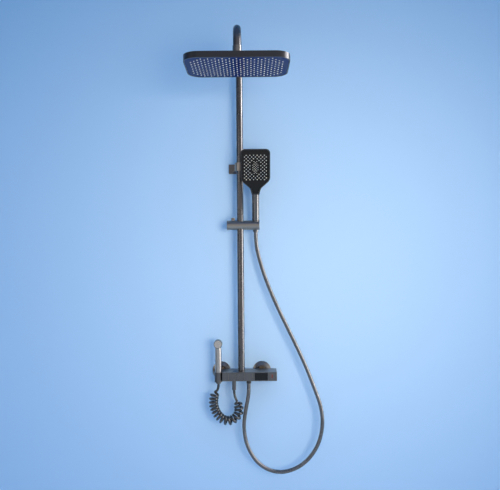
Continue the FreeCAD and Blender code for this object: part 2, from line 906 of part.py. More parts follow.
def add_rain_head():
    """Rain head: hollow shell with the ball's socket, retaining ring, face and nozzle mat."""
    axis = (0, -head_axis_depth)
    top = ball_height + size.ring_height
    slab = head_plate("head_slab", formula(0), head_bottom, size.head_thick)
    neck_low = head_top - size.head_wall
    neck = cylinder("head_neck", size.neck_radius, top - neck_low, (*axis, neck_low))
    hollow_low = head_bottom - size.cut_overrun
    hollow_height = size.head_thick - size.head_wall + size.cut_overrun
    hollow = head_plate("head_hollow", size.head_wall, hollow_low, hollow_height)
    pocket_height = size.ring_height + size.cut_overrun
    pocket = cylinder("ring_pocket", size.ring_radius, pocket_height, (*axis, ball_height))
    seat = sphere("ball_seat", size.ball_radius + size.joint_gap, (*axis, ball_height))
    port_low = neck_low - size.cut_overrun
    port = cylinder("head_port", size.head_port, ball_height - port_low, (*axis, port_low))
    solids = fuse("head_solids", [slab, neck])
    keep("rain_head_shell", cut("head_shell", solids, [hollow, pocket, seat, port]))
    ring_radius = size.ring_radius - size.run_gap
    ring = cylinder("ring_round", ring_radius, size.ring_height, (*axis, ball_height))
    ring_seat = sphere("ring_seat", size.ball_radius + size.joint_gap, (*axis, ball_height))
    ring_low = ball_height - size.cut_overrun
    ring_run = size.ring_height + size.cut_overrun * 2
    ring_bore = cylinder("ring_hole", size.ring_bore, ring_run, (*axis, ring_low))
    keep("ball_ring", cut("ring", ring, [ring_seat, ring_bore]))
    face_low = head_bottom + size.face_recess
    face_inset = size.head_wall + size.joint_gap
    keep("rain_head_face", head_plate("head_face", face_inset, face_low, size.face_thick))
    keep("nozzle_mat", head_plate("mat", size.mat_inset, face_low + size.face_thick, size.mat_thick))


def add_bracket():
    """Upper wall bracket: plate, arm, clamp round the riser and its screws."""
    plate_low = size.bracket_height - size.plate_height / 2
    plate = block(
        "bracket_plate_block",
        (-plate_width / 2, -size.plate_thick, plate_low),
        (plate_width, size.plate_thick, size.plate_height),
    )
    holes = []
    screws = []
    head_depth = size.plate_thick + size.wall_screw_head_height
    for side, sign in SIDES.items():
        across = size.wall_screw_spacing / 2 * sign
        at = (across, -(size.plate_thick + size.cut_overrun), size.bracket_height)
        depth = size.plate_thick + size.cut_overrun * 2
        hole_radius = size.wall_screw_neck + size.joint_gap
        holes.append(cylinder(f"screw_hole_{side}", hole_radius, depth, at, "back"))
        head_at = (across, -head_depth, size.bracket_height)
        head = cylinder(
            f"screw_head_{side}", size.wall_screw_head_radius, size.wall_screw_head_height, head_at, "back"
        )
        shank = cylinder(
            f"screw_shank_{side}", size.wall_screw_radius, size.wall_screw_length, head_at, "back"
        )
        neck = cylinder(f"screw_neck_{side}", size.wall_screw_neck, head_depth, head_at, "back")
        screws.append(fuse(f"screw_{side}", [head, neck, shank]))
    keep("bracket_plate", cut("bracket_plate_solid", plate, holes))
    keep("bracket_screws", group("bracket_screw_pair", screws))
    arm_length = size.bracket_arm_depth - size.plate_thick
    keep(
        "bracket_arm",
        block(
            "bracket_arm_block",
            (
                -bracket_arm_width / 2,
                -size.bracket_arm_depth,
                size.bracket_height - size.bracket_arm_height / 2,
            ),
            (bracket_arm_width, arm_length, size.bracket_arm_height),
        ),
    )
    clamp_low = size.bracket_height - size.clamp_height / 2
    round_at = (0, -size.riser_depth, clamp_low)
    round_part = cylinder("clamp_round", size.clamp_radius, size.clamp_height, round_at)
    square_part = block(
        "clamp_square",
        (-size.clamp_radius, -size.riser_depth, clamp_low),
        (size.clamp_radius * 2, size.riser_depth - size.bracket_arm_depth, size.clamp_height),
    )
    bore_at = (0, -size.riser_depth, clamp_low - size.cut_overrun)
    bore = cylinder(
        "clamp_bore", size.riser_radius + size.run_gap, size.clamp_height + size.cut_overrun * 2, bore_at
    )
    screw_left = -(size.clamp_radius + size.cut_overrun)
    screw_at = (screw_left, -size.riser_depth, size.bracket_height)
    hole_radius = size.set_screw_radius + size.run_gap
    screw_hole = cylinder("set_screw_hole", hole_radius, -screw_left, screw_at, "right")
    clamp = fuse("clamp_solids", [round_part, square_part])
    keep("bracket_clamp", cut("clamp", clamp, [bore, screw_hole]))
    tip = size.riser_radius + size.joint_gap
    keep(
        "bracket_set_screw",
        cylinder(
            "set_screw",
            size.set_screw_radius,
            size.clamp_radius - tip,
            (-size.clamp_radius, -size.riser_depth, size.bracket_height),
            "right",
        ),
    )


def add_slider():
    """Sliding holder: body round the riser, end cap, clamp shoe, release button and pivot bolt."""
    axis = (-size.riser_depth, size.slider_height)
    left = size.end_cap_thick - size.slider_left
    seam = size.slider_seam - size.joint_gap / 2
    bar = cylinder("slider_bar", size.slider_radius, seam - left, (left, *axis), "right")
    low = size.slider_height - size.slider_radius - size.cut_overrun
    through = size.slider_radius * 2 + size.cut_overrun * 2
    bore_at = (0, -size.riser_depth, low)
    riser_hole = cylinder("slider_bore", size.riser_radius + size.joint_gap, through, bore_at)
    plug_hole = cylinder(
        "plug_hole",
        size.end_cap_plug_radius + size.run_gap,
        size.end_cap_plug_length + size.joint_gap + size.cut_overrun,
        (left - size.cut_overrun, *axis),
        "right",
    )
    button_low = size.slider_height + size.slider_radius - size.button_depth
    spring_low = button_low - size.button_spring_length - size.joint_gap * 2
    button_axis = (-size.button_offset, -size.riser_depth)
    button_hole = cylinder(
        "button_hole",
        size.button_radius + size.joint_gap,
        size.slider_height + size.slider_radius + size.cut_overrun - spring_low,
        (*button_axis, spring_low),
    )
    shoe_left = -(size.riser_radius + size.joint_gap + size.shoe_length)
    shoe_at = (shoe_left, *axis)
    shoe_hole = cylinder("shoe_hole", size.shoe_radius + size.run_gap, -shoe_left, shoe_at, "right")
    bolt_left = seam - size.bolt_inside
    bolt_at = (bolt_left, *axis)
    bolt_run = size.bolt_inside + size.cut_overrun
    bolt_hole = cylinder("bolt_hole", size.bolt_radius + size.run_gap, bolt_run, bolt_at, "right")
    keep("slider_body", cut("slider", bar, [riser_hole, plug_hole, button_hole, shoe_hole, bolt_hole]))
    cap_at = (-size.slider_left, *axis)
    cap = cylinder("cap_disc", size.slider_radius, size.end_cap_thick, cap_at, "right")
    plug = cylinder(
        "cap_plug", size.end_cap_plug_radius, size.end_cap_thick + size.end_cap_plug_length, cap_at, "right"
    )
    keep("slider_end_cap", fuse("end_cap", [cap, plug]))
    button_height = size.button_depth + size.button_rise
    keep("release_button", cylinder("button", size.button_radius, button_height, (*button_axis, button_low)))
    spring_foot = spring_low + size.joint_gap
    spring_at = Vector(-size.button_offset.value, -size.riser_depth.value, spring_foot.value)
    shape = spring(
        size.button_spring_radius,
        size.button_spring_wire,
        size.button_spring_length,
        spring_at,
        Vector(0, 0, 1),
    )
    keep("button_spring", shape_piece("button_spring_wire", shape))
    shoe = cylinder("shoe_bar", size.shoe_radius, -shoe_left, shoe_at, "right")
    face = cylinder("shoe_face", size.riser_radius + size.joint_gap, through, bore_at)
    keep("clamp_shoe", cut("shoe", shoe, [face]))
    bolt_length = size.bolt_inside + size.bolt_outside
    keep("pivot_bolt", cylinder("bolt", size.bolt_radius, bolt_length, bolt_at, "right"))


def add_cradle():
    """Cradle that tilts on the pivot bolt, with a conical socket and a slot for the hose at its back."""
    left = size.slider_seam + size.joint_gap / 2 - size.socket_offset
    right = size.cradle_right - size.socket_offset
    bar = cylinder("cradle_bar", size.slider_radius, right - left, (left, 0, 0), "right")
    bolt_length = size.bolt_outside + size.joint_gap + size.cut_overrun
    bolt = cylinder(
        "cradle_bolt_hole",
        size.bolt_radius + size.run_gap,
        bolt_length,
        (left - size.cut_overrun - size.joint_gap / 2, 0, 0),
        "right",
    )
    cone = doc.addObject("Part::Cone", "cradle_cone")
    bind(cone, "Radius1", size.cone_bottom_radius)
    bind(cone, "Radius2", size.cone_top_radius)
    bind(cone, "Height", size.cone_half * 2)
    place(cone, (0, 0, -size.cone_half))
    slot = block(
        "cradle_slot",
        (-size.hose_slot / 2, 0, -size.cone_half),
        (size.hose_slot, size.slider_radius + size.cut_overrun, size.cone_half * 2),
    )
    cradle = keep("cradle", cut("cradle_solid", bar, [bolt, cone, slot]))
    lean(cradle)


def paddle(inset):
    """Return the front outline of the hand shower's head and neck, drawn in by an inset."""
    halves = [
        (size.neck_half - inset, size.handle_end + inset),
        (size.throat_half - inset, size.throat_height),
        (size.handset_half - inset, size.shoulder_height),
        (size.handset_half - inset, size.handset_top - inset),
    ]
    right = [(across, along) for across, along in halves]
    left = [(-across, along) for across, along in reversed(halves)]
    return right + left


def paddle_plate(name, inset, start, thick):
    """Return a plate of the hand shower's outline with its corners rounded."""
    plate = prism(name, "XZ_Plane", paddle(inset), start, thick)
    rounds = (
        ("top", size.handset_top - inset, size.handset_corner - inset),
        ("shoulder", size.shoulder_height, size.shoulder_round - inset),
        ("throat", size.throat_height, size.throat_round + inset),
    )
    for corner, height, radius in rounds:
        round_corners(plate, f"{name}_{corner}", radius, lambda edge: along_depth_at(edge, height.value))
    lean(plate)
    return plate


def along_depth_at(edge, height):
    """Tell whether an edge runs along Y at a height."""
    first, last = edge.firstVertex().Point, edge.lastVertex().Point
    level = max(abs(first.z - height), abs(last.z - height)) < STRAIGHT_LIMIT
    return level and abs(first.x - last.x) < STRAIGHT_LIMIT


def add_handset():
    """Hand shower: cone nut, handle, hollow shell, face, inner spray plate and oval insert."""
    low = -size.handset_nut_below
    cone_low = size.cone_bottom_radius - size.joint_gap
    cone_high = size.cone_top_radius - size.joint_gap
    spigot_top = size.handle_start + size.spigot_length
    nut = [
        (size.handset_nut_bore, low),
        (cone_low - size.handset_nut_taper, low),
        (cone_low, -size.cone_half),
        (cone_high, size.handle_start),
        (size.spigot_radius, size.handle_start),
        (size.spigot_radius, spigot_top),
        (size.handset_nut_bore, spigot_top),
    ]
    lean(keep("handset_nut", turned("handset_nut_body", nut, (0, 0, 0))))
    handle = [
        (size.handle_bore, size.handle_start),
        (size.handle_radius - size.handle_chamfer, size.handle_start),
        (size.handle_radius, size.handle_start + size.handle_chamfer),
        (size.handle_radius, size.handle_end),
        (size.handle_bore, size.handle_end),
    ]
    lean(keep("handset_handle", turned("handset_handle_body", handle, (0, 0, 0))))
    depth = size.handset_front + size.handset_back
    outer = paddle_plate("handset_outer", formula(0), -size.handset_back, depth)
    hollow = paddle_plate("handset_hollow", size.handset_wall, size.handset_wall - size.handset_back, depth)
    keep("handset_shell", cut("handset_shell_solid", outer, [hollow]))
    face_back = size.handset_front + size.handset_face_proud - size.handset_face_thick
    face_inset = size.handset_wall + size.joint_gap
    keep("handset_face", paddle_plate("handset_plate", face_inset, face_back, size.handset_face_thick))
    inner_back = face_back - size.spray_plate_thick
    inner_width = (size.handset_half - size.spray_plate_inset) * 2
    inner_height = size.handset_top - size.shoulder_height - size.spray_plate_inset * 2
    middle = (size.handset_top + size.shoulder_height) / 2
    inner_outline = [(across, along + middle) for across, along in rectangle(inner_width, inner_height)]
    inner = prism("spray_plate_body", "XZ_Plane", inner_outline, inner_back, size.spray_plate_thick)
    lean(keep("spray_plate", inner))
    insert_corners = rectangle(size.insert_width, size.insert_height)
    insert_outline = [(across, along + size.insert_center) for across, along in insert_corners]
    insert_back = size.handset_front + size.handset_face_proud
    insert = prism("insert_body", "XZ_Plane", insert_outline, insert_back, size.insert_thick)
    round_corners(insert, "insert_ends", size.insert_width / 2 - size.joint_gap, along_depth)
    lean(keep("center_insert", insert))


def along_depth(edge):
    """Tell whether an edge runs along Y."""
    first, last = edge.firstVertex().Point, edge.lastVertex().Point
    return math.hypot(first.x - last.x, first.z - last.z) < STRAIGHT_LIMIT


def add_sprayer():
    """Bidet sprayer in its cup: handle, hose nut, head, face, trigger and pin."""
    axis = (-sprayer_offset, -size.sprayer_depth)
    at = (*axis, 0)
    add_cup(axis)
    seat = size.joint_gap - size.cup_shoulder
    handle = [
        (size.sprayer_bore, seat),
        (size.sprayer_radius, seat),
        (size.sprayer_radius, size.sprayer_top),
        (size.sprayer_bore, size.sprayer_top),
    ]
    keep("sprayer_handle", turned("sprayer_tube", handle, at))
    spigot = size.sprayer_bore - size.run_gap
    nut = [
        (size.sprayer_nut_bore, -size.sprayer_nut_bottom),
        (size.sprayer_nut_radius, -size.sprayer_nut_bottom),
        (size.sprayer_nut_radius, seat),
        (spigot, seat),
        (spigot, seat + size.sprayer_nut_spigot),
        (size.sprayer_nut_bore, seat + size.sprayer_nut_spigot),
    ]
    keep("sprayer_nut", turned("sprayer_hose_nut", nut, at))
    front = size.sprayer_depth + size.spray_head_front
    head_length = size.spray_head_front + size.spray_head_back
    back = size.sprayer_depth - size.spray_head_back
    drum_at = (-sprayer_offset, -front, size.spray_head_height)
    drum = cylinder("spray_drum", size.spray_head_radius, head_length, drum_at, "back")
    neck_low = size.sprayer_top - size.spray_neck_depth
    neck = cylinder("spray_neck", spigot, size.spray_head_height - neck_low, (*axis, neck_low))
    solids = [drum, neck]
    pin_depth = trigger_depth - size.trigger_thick / 2
    pin_at_depth = -pin_depth
    ear_length = back - pin_depth + size.ear_height / 2
    pin_half = size.trigger_width / 2 + size.joint_gap + size.ear_thick
    for side, sign in SIDES.items():
        inner = size.trigger_width / 2 + size.joint_gap
        ear_left = inner if sign > 0 else -inner - size.ear_thick
        ear_at = (
            ear_left - sprayer_offset,
            -back - size.ear_height / 2,
            size.spray_head_height - size.ear_height / 2,
        )
        solids.append(
            block(f"ear_{side}", ear_at, (size.ear_thick, ear_length + size.ear_height / 2, size.ear_height))
        )
    pin_at = (-(sprayer_offset + pin_half), pin_at_depth, size.spray_head_height)
    pin_hole = cylinder("ear_hole", size.pin_radius, pin_half * 2, pin_at, "right")
    keep("sprayer_head", cut("spray_head", fuse("spray_head_solids", solids), [pin_hole]))
    keep("trigger_pin", cylinder("pin", size.pin_radius, pin_half * 2, pin_at, "right"))
    face_at = (-sprayer_offset, -(front + size.spray_face_thick), size.spray_head_height)
    face = cylinder("spray_face", size.spray_face_radius, size.spray_face_thick, face_at, "back")
    keep("sprayer_face", face)
    lever_low = size.spray_head_height + size.trigger_top - size.trigger_length
    lever = block(
        "lever",
        (-(sprayer_offset + size.trigger_width / 2), -trigger_depth, lever_low),
        (size.trigger_width, size.trigger_thick, size.trigger_length),
    )
    lever_hole = cylinder("lever_hole", size.pin_radius + size.run_gap, pin_half * 2, pin_at, "right")
    keep("sprayer_trigger", cut("trigger", lever, [lever_hole]))


def add_cup(axis):
    """Cup that holds the sprayer, with the foot that fixes it to the valve body."""
    cup_height = size.cup_top + size.cup_bottom
    wall = cylinder("cup_wall", size.cup_radius, cup_height, (*axis, -size.cup_bottom))
    foot_left = -(sprayer_offset + size.foot_width / 2)
    foot_at = (foot_left, -(notch_depth + size.foot_root), body_middle - size.foot_height / 2)
    foot = block("cup_foot", foot_at, (size.foot_width, size.foot_root, size.foot_height))
    well_height = size.cup_top + size.cup_shoulder + size.cut_overrun
    well = cylinder("cup_well", size.cup_bore, well_height, (*axis, -size.cup_shoulder))
    throat_low = -(size.cup_bottom + size.cut_overrun)
    throat = cylinder("cup_throat_hole", size.cup_throat, cup_height, (*axis, throat_low))
    keep("sprayer_cup", cut("cup", fuse("cup_solids", [wall, foot]), [well, throat]))


def add_hose_fittings():
    """Nut of the shower hose and connector of the bidet hose, on the outlets under the valve."""
    top = -(size.body_bottom + size.joint_gap)
    grip = size.nipple_radius + size.run_gap
    nipple_end = -(size.body_bottom + size.nipple_length)
    seat = nipple_end - size.joint_gap
    bottom = -size.hose_nut_bottom
    nut = [
        (size.nipple_bore, bottom),
        (size.hose_nut_radius, bottom),
        (size.hose_nut_radius, top),
        (grip, top),
        (grip, seat),
        (size.nipple_bore, seat),
    ]
    keep("hose_nut", turned("hose_nut_body", nut, (size.outlet_right, -size.riser_depth, 0)))
    connector_bottom = -size.connector_bottom
    connector = [
        (size.sprayer_nut_bore, connector_bottom),
        (size.connector_radius, connector_bottom),
        (size.connector_radius, top),
        (grip, top),
        (grip, seat),
        (size.sprayer_nut_bore, seat),
    ]
    keep("bidet_connector", turned("connector", connector, (-size.outlet_left, -size.riser_depth, 0)))


def shape_piece(name, shape):
    """Return a document object that holds a shape built in code."""
    piece = doc.addObject("Part::Feature", name)
    piece.Shape = shape
    piece.Placement = FreeCAD.Placement()
    return piece


def arc_to(start, heading, end):
    """Return the arc, or line, from a point along a heading to another point."""
    chord = end - start
    along = chord.dot(heading) / chord.Length
    side = chord - heading * chord.dot(heading)
    if side.Length < STRAIGHT_LIMIT * chord.Length:
        return Part.LineSegment(start, end).toShape()
    half_turn = math.acos(max(-1.0, min(1.0, along)))
    radius = chord.Length / (2 * math.sin(half_turn))
    side.normalize()
    middle = start + heading * (radius * math.sin(half_turn)) + side * (radius * (1 - math.cos(half_turn)))
    return Part.Arc(start, middle, end).toShape()


def biarc(start, heading, end, leaving):
    """Return two tangent arcs that leave a point along one heading and reach another along a second."""
    chord = end - start
    total = heading + leaving
    spread = 2 * (1 - heading.dot(leaving))
    reach = chord.dot(total)
    if spread < STRAIGHT_LIMIT:
        step = chord.dot(chord) / (2 * reach)
    else:
        step = (math.sqrt(reach * reach + spread * chord.dot(chord)) - reach) / spread
    meeting = (start + end + (heading - leaving) * step) * 0.5
    first = arc_to(start, heading, meeting)
    second = arc_to(end, leaving * -1, meeting)
    return [first, Part.Edge(second)]


def tube_along(stations, radius):
    """Return a round tube through stations, each a point with its heading."""
    edges = []
    for (start, heading), (end, leaving) in zip(stations, stations[1:]):
        edges.extend(biarc(start, heading, end, leaving))
    path = Part.Wire(Part.__sortEdges__(edges))
    first_point, first_heading = stations[0]
    ring = Part.Wire(Part.Circle(first_point, first_heading, radius).toShape())
    return path, path.makePipeShell([ring], True, False)


def spring(radius, wire, length, start, heading):
    """Return a compression spring that starts at a point and stands along a heading."""
    across = Vector(1, 0, 0)
    other = heading.cross(across)
    travel = length.value - wire.value * 2
    rise = travel / (SPRING_TURNS * 2 * math.pi)
    stations = []
    for quarter in range(SPRING_TURNS * 4 + 1):
        angle = quarter * QUARTER_TURN
        round_part = across * math.cos(angle) + other * math.sin(angle)
        along_part = other * math.cos(angle) - across * math.sin(angle)
        point = start + heading * (wire.value + rise * angle) + round_part * radius.value
        direction = along_part * radius.value + heading * rise
        stations.append((point, direction.normalize()))
    path, shape = tube_along(stations, wire.value)
    return shape


def route_wire(points):
    """Return straight runs joined by tangent arcs through a cord's points, and the arcs' radii."""
    edges = []
    radii = []
    here = points[0]
    for before, corner, after in zip(points, points[1:], points[2:]):
        incoming = corner - before
        outgoing = after - corner
        turn = incoming.getAngle(outgoing)
        setback = BEND_SHARE * min(incoming.Length, outgoing.Length)
        radii.append(setback / math.tan(turn / 2))
        heading = incoming * (1 / incoming.Length)
        leave = corner - heading * setback
        arrive = corner + outgoing * (setback / outgoing.Length)
        edges.append(Part.LineSegment(here, leave).toShape())
        edges.append(arc_to(leave, heading, arrive))
        here = arrive
    edges.append(Part.LineSegment(here, points[-1]).toShape())
    return Part.Wire(edges), radii


def from_socket(along):
    """Return the point on the hand shower's axis at a distance from its socket."""
    angle = math.radians(size.lean_angle.value)
    depth = size.riser_depth.value + along * math.sin(angle)
    height = size.slider_height.value + along * math.cos(angle)
    return Vector(size.socket_offset.value, -depth, height)


def add_shower_hose():
    """Smooth shower hose from the hand shower's nut round its loop to the nut under the valve."""
    below = -size.handset_nut_below.value
    outlet = Vector(size.outlet_right.value, -size.riser_depth.value, -size.hose_nut_bottom.value)
    points = [from_socket(below), from_socket(below - size.hose_lead.value)]
    points += [Vector(*point) for point in HOSE_POINTS]
    points += [outlet - Vector(0, 0, size.hose_tail.value), outlet]
    path, radii = route_wire(points)
    heading = points[1] - points[0]
    ring = Part.Wire(Part.Circle(points[0], heading, size.hose_radius.value).toShape())
    shape = path.makePipeShell([ring], True, False)
    section = math.pi * size.hose_radius.value**2
    print(f"shower hose: length {path.Length:.1f} mm, least radius {min(radii):.1f} mm")
    print("shower hose radii:", " ".join(f"{radius:.0f}" for radius in radii))
    print(f"shower hose volume over section times length: {shape.Volume / (section * path.Length):.4f}")
    keep("shower_hose", shape_piece("shower_hose_tube", shape))


def smooth(share):
    """Return an even rise from 0 to 1 for a share of a ramp."""
    share = max(0.0, min(1.0, share))
    return share * share * (3 - 2 * share)


def curl_stations(axis):
    """Return samples of the curly hose round its axis: straight ends, then turns that open in the bend."""
    spans = [(edge, edge.Length) for edge in axis.Edges]
    total = sum(length for edge, length in spans)
    tube = size.curl_tube_radius.value * 2
    step = tube / STEPS_PER_TURN * 4
    lead = size.curl_lead.value
    ramp = size.curl_ramp.value
    end = total - size.curl_tail.value
    depth = Vector(0, 1, 0)

    def on_axis(distance):
        remaining = max(0.0, min(total, distance))
        span = 0
        while remaining > spans[span][1] and span < len(spans) - 1:
            remaining -= spans[span][1]
            span += 1
        edge, length = spans[span]
        parameter = edge.getParameterByLength(min(remaining, length))
        bend = edge.curvatureAt(parameter)
        return edge.valueAt(parameter), edge.tangentAt(parameter), bend

    def share_at(distance):
        return smooth((distance - lead) / ramp) * smooth((end - distance) / ramp)

    def point_at(distance, angle):
        middle, heading, bend = on_axis(distance)
        across = depth.cross(heading).normalize()
        other = heading.cross(across)
        reach = size.curl_radius.value * share_at(distance)
        return middle + across * (reach * math.cos(angle)) + other * (reach * math.sin(angle))

    distance = 0.0
    angle = 0.0
    samples = []
    while distance <= total:
        bend = max(on_axis(distance + offset)[2] for offset in (-tube, 0.0, tube))
        pitch = (tube + size.curl_gap.value) / (1 - size.curl_radius.value * bend)
        samples.append((distance, angle))
        angle += 2 * math.pi / pitch * share_at(distance) * step
        distance += step
    return samples, point_at, total


def add_curly_hose():
    """Curly bidet hose: one tube wound round a hanging axis, from the sprayer's nut to its connector."""
    start = Vector(-sprayer_offset.value, -size.sprayer_depth.value, -size.sprayer_nut_bottom.value)
    finish = Vector(-size.outlet_left.value, -size.riser_depth.value, -size.connector_bottom.value)
    points = [start, start - Vector(0, 0, size.curl_drop.value)]
    points += [Vector(*point) for point in CURL_POINTS]
    points += [finish - Vector(0, 0, size.curl_climb.value), finish]
    axis, radii = route_wire(points)
    print("curly hose axis radii:", " ".join(f"{radius:.0f}" for radius in radii))
    samples, point_at, total = curl_stations(axis)
    tube = size.curl_tube_radius.value * 2
    places = [point_at(distance, angle) for distance, angle in samples]
    marks = [0]
    for index, (distance, angle) in enumerate(samples):
        last_distance, last_angle = samples[marks[-1]]
        if angle - last_angle >= QUARTER_TURN or distance - last_distance >= tube:
            marks.append(index)
    if len(samples) - 1 - marks[-1] > 2:
        marks.append(len(samples) - 1)
    stations = [(start, Vector(0, 0, -1))]
    for index in marks[1:-1]:
        heading = places[index + 1] - places[index - 1]
        stations.append((places[index], heading.normalize()))
    stations.append((finish, Vector(0, 0, 1)))
    path, shape = tube_along(stations, size.curl_tube_radius.value)
    section = math.pi * size.curl_tube_radius.value**2
    turns = samples[-1][1] / (2 * math.pi)
    print(f"curly hose: {turns:.1f} turns, tube length {path.Length:.0f} mm, {len(stations)} stations")
    print(f"curly hose volume over section times length: {shape.Volume / (section * path.Length):.4f}")
    print(f"curly hose least gap to itself: {least_gap(path, tube):.2f} mm")
    keep("curly_hose", shape_piece("curly_hose_tube", shape))


def least_gap(path, tube):
    """Return the least clear distance of a wound tube to itself, measured on points of its centre line."""
    count = int(path.Length / (tube / 8))
    points = path.discretize(Number=count)
    spacing = path.Length / (count - 1)
    skip = int(tube * 2 / spacing)
    gap = math.inf
    for index, point in enumerate(points):
        for other in points[index + skip:index + skip + count // 6]:
            gap = min(gap, (point - other).Length - tube)
    return gap


def check_and_write():
    """Stop on any failed or invalid piece, then write one file for each node."""
    doc.recompute()
    for thing in doc.Objects:
        if "Invalid" in thing.State or "Error" in thing.State:
            raise RuntimeError(f"{thing.Name} failed: {thing.State}")
    for label, thing in nodes.items():
        if thing.Shape.isNull() or not thing.Shape.isValid() or not thing.Shape.Solids:
            raise RuntimeError(f"{label} has no valid solid")
    os.makedirs("parts", exist_ok=True)
    for label, thing in nodes.items():
        thing.Shape.exportStep(f"parts/{label}.step")
    print(f"{len(nodes)} nodes written")


def main():
    """Build every sub-assembly in order, from the wall outwards."""
    add_inlets()
    add_core()
    add_casing()
    add_display()
    add_keys()
    add_temperature_control()
    add_riser()
    add_arm()
    add_rain_head()
    add_bracket()
    add_slider()
    add_cradle()
    add_handset()
    add_sprayer()
    add_hose_fittings()
    add_shower_hose()
    add_curly_hose()
    check_and_write()


main()
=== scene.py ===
"""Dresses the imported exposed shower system: finishes, nozzles, hoses and the studio round it.

Lengths in the classes below are in millimetres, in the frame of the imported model: +X to the right, +Y into
the wall, +Z up, with the origin on the wall midway between the two inlets. MM turns them into metres.
"""

import logging
import math
from abc import ABC, abstractmethod
from collections.abc import Callable, Iterable, Iterator
from dataclasses import dataclass, field
from enum import Enum
from functools import cache
from itertools import pairwise

import bmesh
import bpy
from mathutils import Matrix, Vector

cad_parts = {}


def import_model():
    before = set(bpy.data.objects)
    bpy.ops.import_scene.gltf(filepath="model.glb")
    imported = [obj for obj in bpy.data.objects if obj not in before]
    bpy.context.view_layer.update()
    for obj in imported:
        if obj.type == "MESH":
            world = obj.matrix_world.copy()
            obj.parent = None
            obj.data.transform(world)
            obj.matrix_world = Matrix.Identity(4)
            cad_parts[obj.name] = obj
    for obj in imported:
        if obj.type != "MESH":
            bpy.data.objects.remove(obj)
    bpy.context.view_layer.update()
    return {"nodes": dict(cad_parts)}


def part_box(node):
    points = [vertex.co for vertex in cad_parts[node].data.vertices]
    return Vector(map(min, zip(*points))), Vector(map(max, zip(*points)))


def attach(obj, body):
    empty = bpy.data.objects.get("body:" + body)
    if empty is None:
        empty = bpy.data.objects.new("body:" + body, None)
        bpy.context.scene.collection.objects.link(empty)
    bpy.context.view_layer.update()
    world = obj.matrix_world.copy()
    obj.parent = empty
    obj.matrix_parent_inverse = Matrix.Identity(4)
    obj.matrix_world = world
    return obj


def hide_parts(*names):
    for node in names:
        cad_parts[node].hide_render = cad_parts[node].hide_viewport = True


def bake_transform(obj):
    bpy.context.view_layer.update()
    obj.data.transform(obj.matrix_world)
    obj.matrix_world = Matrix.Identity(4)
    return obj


Color = tuple[float, float, float]
Point = tuple[float, float, float]
Pair = tuple[float, float]
Sink = Callable[[int, float], float]
Shape = bmesh.types.BMesh
Piece = bpy.types.Object
Tree = bpy.types.NodeTree
Node = bpy.types.Node
Link = tuple[Node, str | int, Node, str | int]

MM = 0.001
TINY = 1e-12
WELD = 1e-7
SMOOTH_ANGLE = math.radians(38)
QUARTER_TURN = Matrix.Rotation(math.radians(90), 4, "X")
HALF_TURN = Matrix.Rotation(math.radians(180), 4, "X")
GROOVE = "groove"
SENSOR_WIDTH = 36.0
SPLINE_RESOLUTION = 64
FINE_SHARE = 0.6
BROAD_SHARE = 0.4
MARK_RANGE = (0.25, 0.85)
COAT_ROUGHNESS = 0.04
BUMP_STRENGTH = 0.15

log = logging.getLogger("shower")


class Slot(Enum):
    """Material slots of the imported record."""

    GUNMETAL = "gunmetal_metal"
    COATED = "gunmetal_plastic"
    BRASS = "brass"
    GLOSS = "black_gloss"
    RUBBER = "black_rubber"
    STEEL = "steel"
    INNER = "inner_plastic"
    SILICONE = "white_silicone"
    HOSE = "hose_skin"


class Grain(Enum):
    """Ways the fine lines of a finish run, as the stretch of its pattern along X, Y and Z."""

    EVEN = (1.0, 1.0, 1.0)
    ALONG_X = (0.02, 1.0, 1.0)
    ALONG_Z = (1.0, 1.0, 0.02)
    ROUND_Z = (0.15, 0.15, 1.0)


def set_inputs(node: Node, values: dict[str | int, object]) -> None:
    """Set input sockets of a node, given by name or number."""
    for socket, value in values.items():
        node.inputs[socket].default_value = value


def add_node(
    tree: Tree, kind: str, values: dict[str | int, object] | None = None, **settings: object
) -> Node:
    """Add a shader node to a tree.

    Args:
        tree: The tree that takes it.
        kind: Its type, without the leading ShaderNode.
        values: Values of its input sockets, by name or number.
        settings: Values of its own properties.

    Returns:
        The new node.
    """
    node = tree.nodes.new(f"ShaderNode{kind}")
    for label, value in settings.items():
        setattr(node, label, value)
    set_inputs(node, values or {})
    return node


def wire(tree: Tree, *links: Link) -> None:
    """Link sockets of a tree, each link given as a node, its output, a node and its input."""
    for source, output, target, socket in links:
        tree.links.new(source.outputs[output], target.inputs[socket])


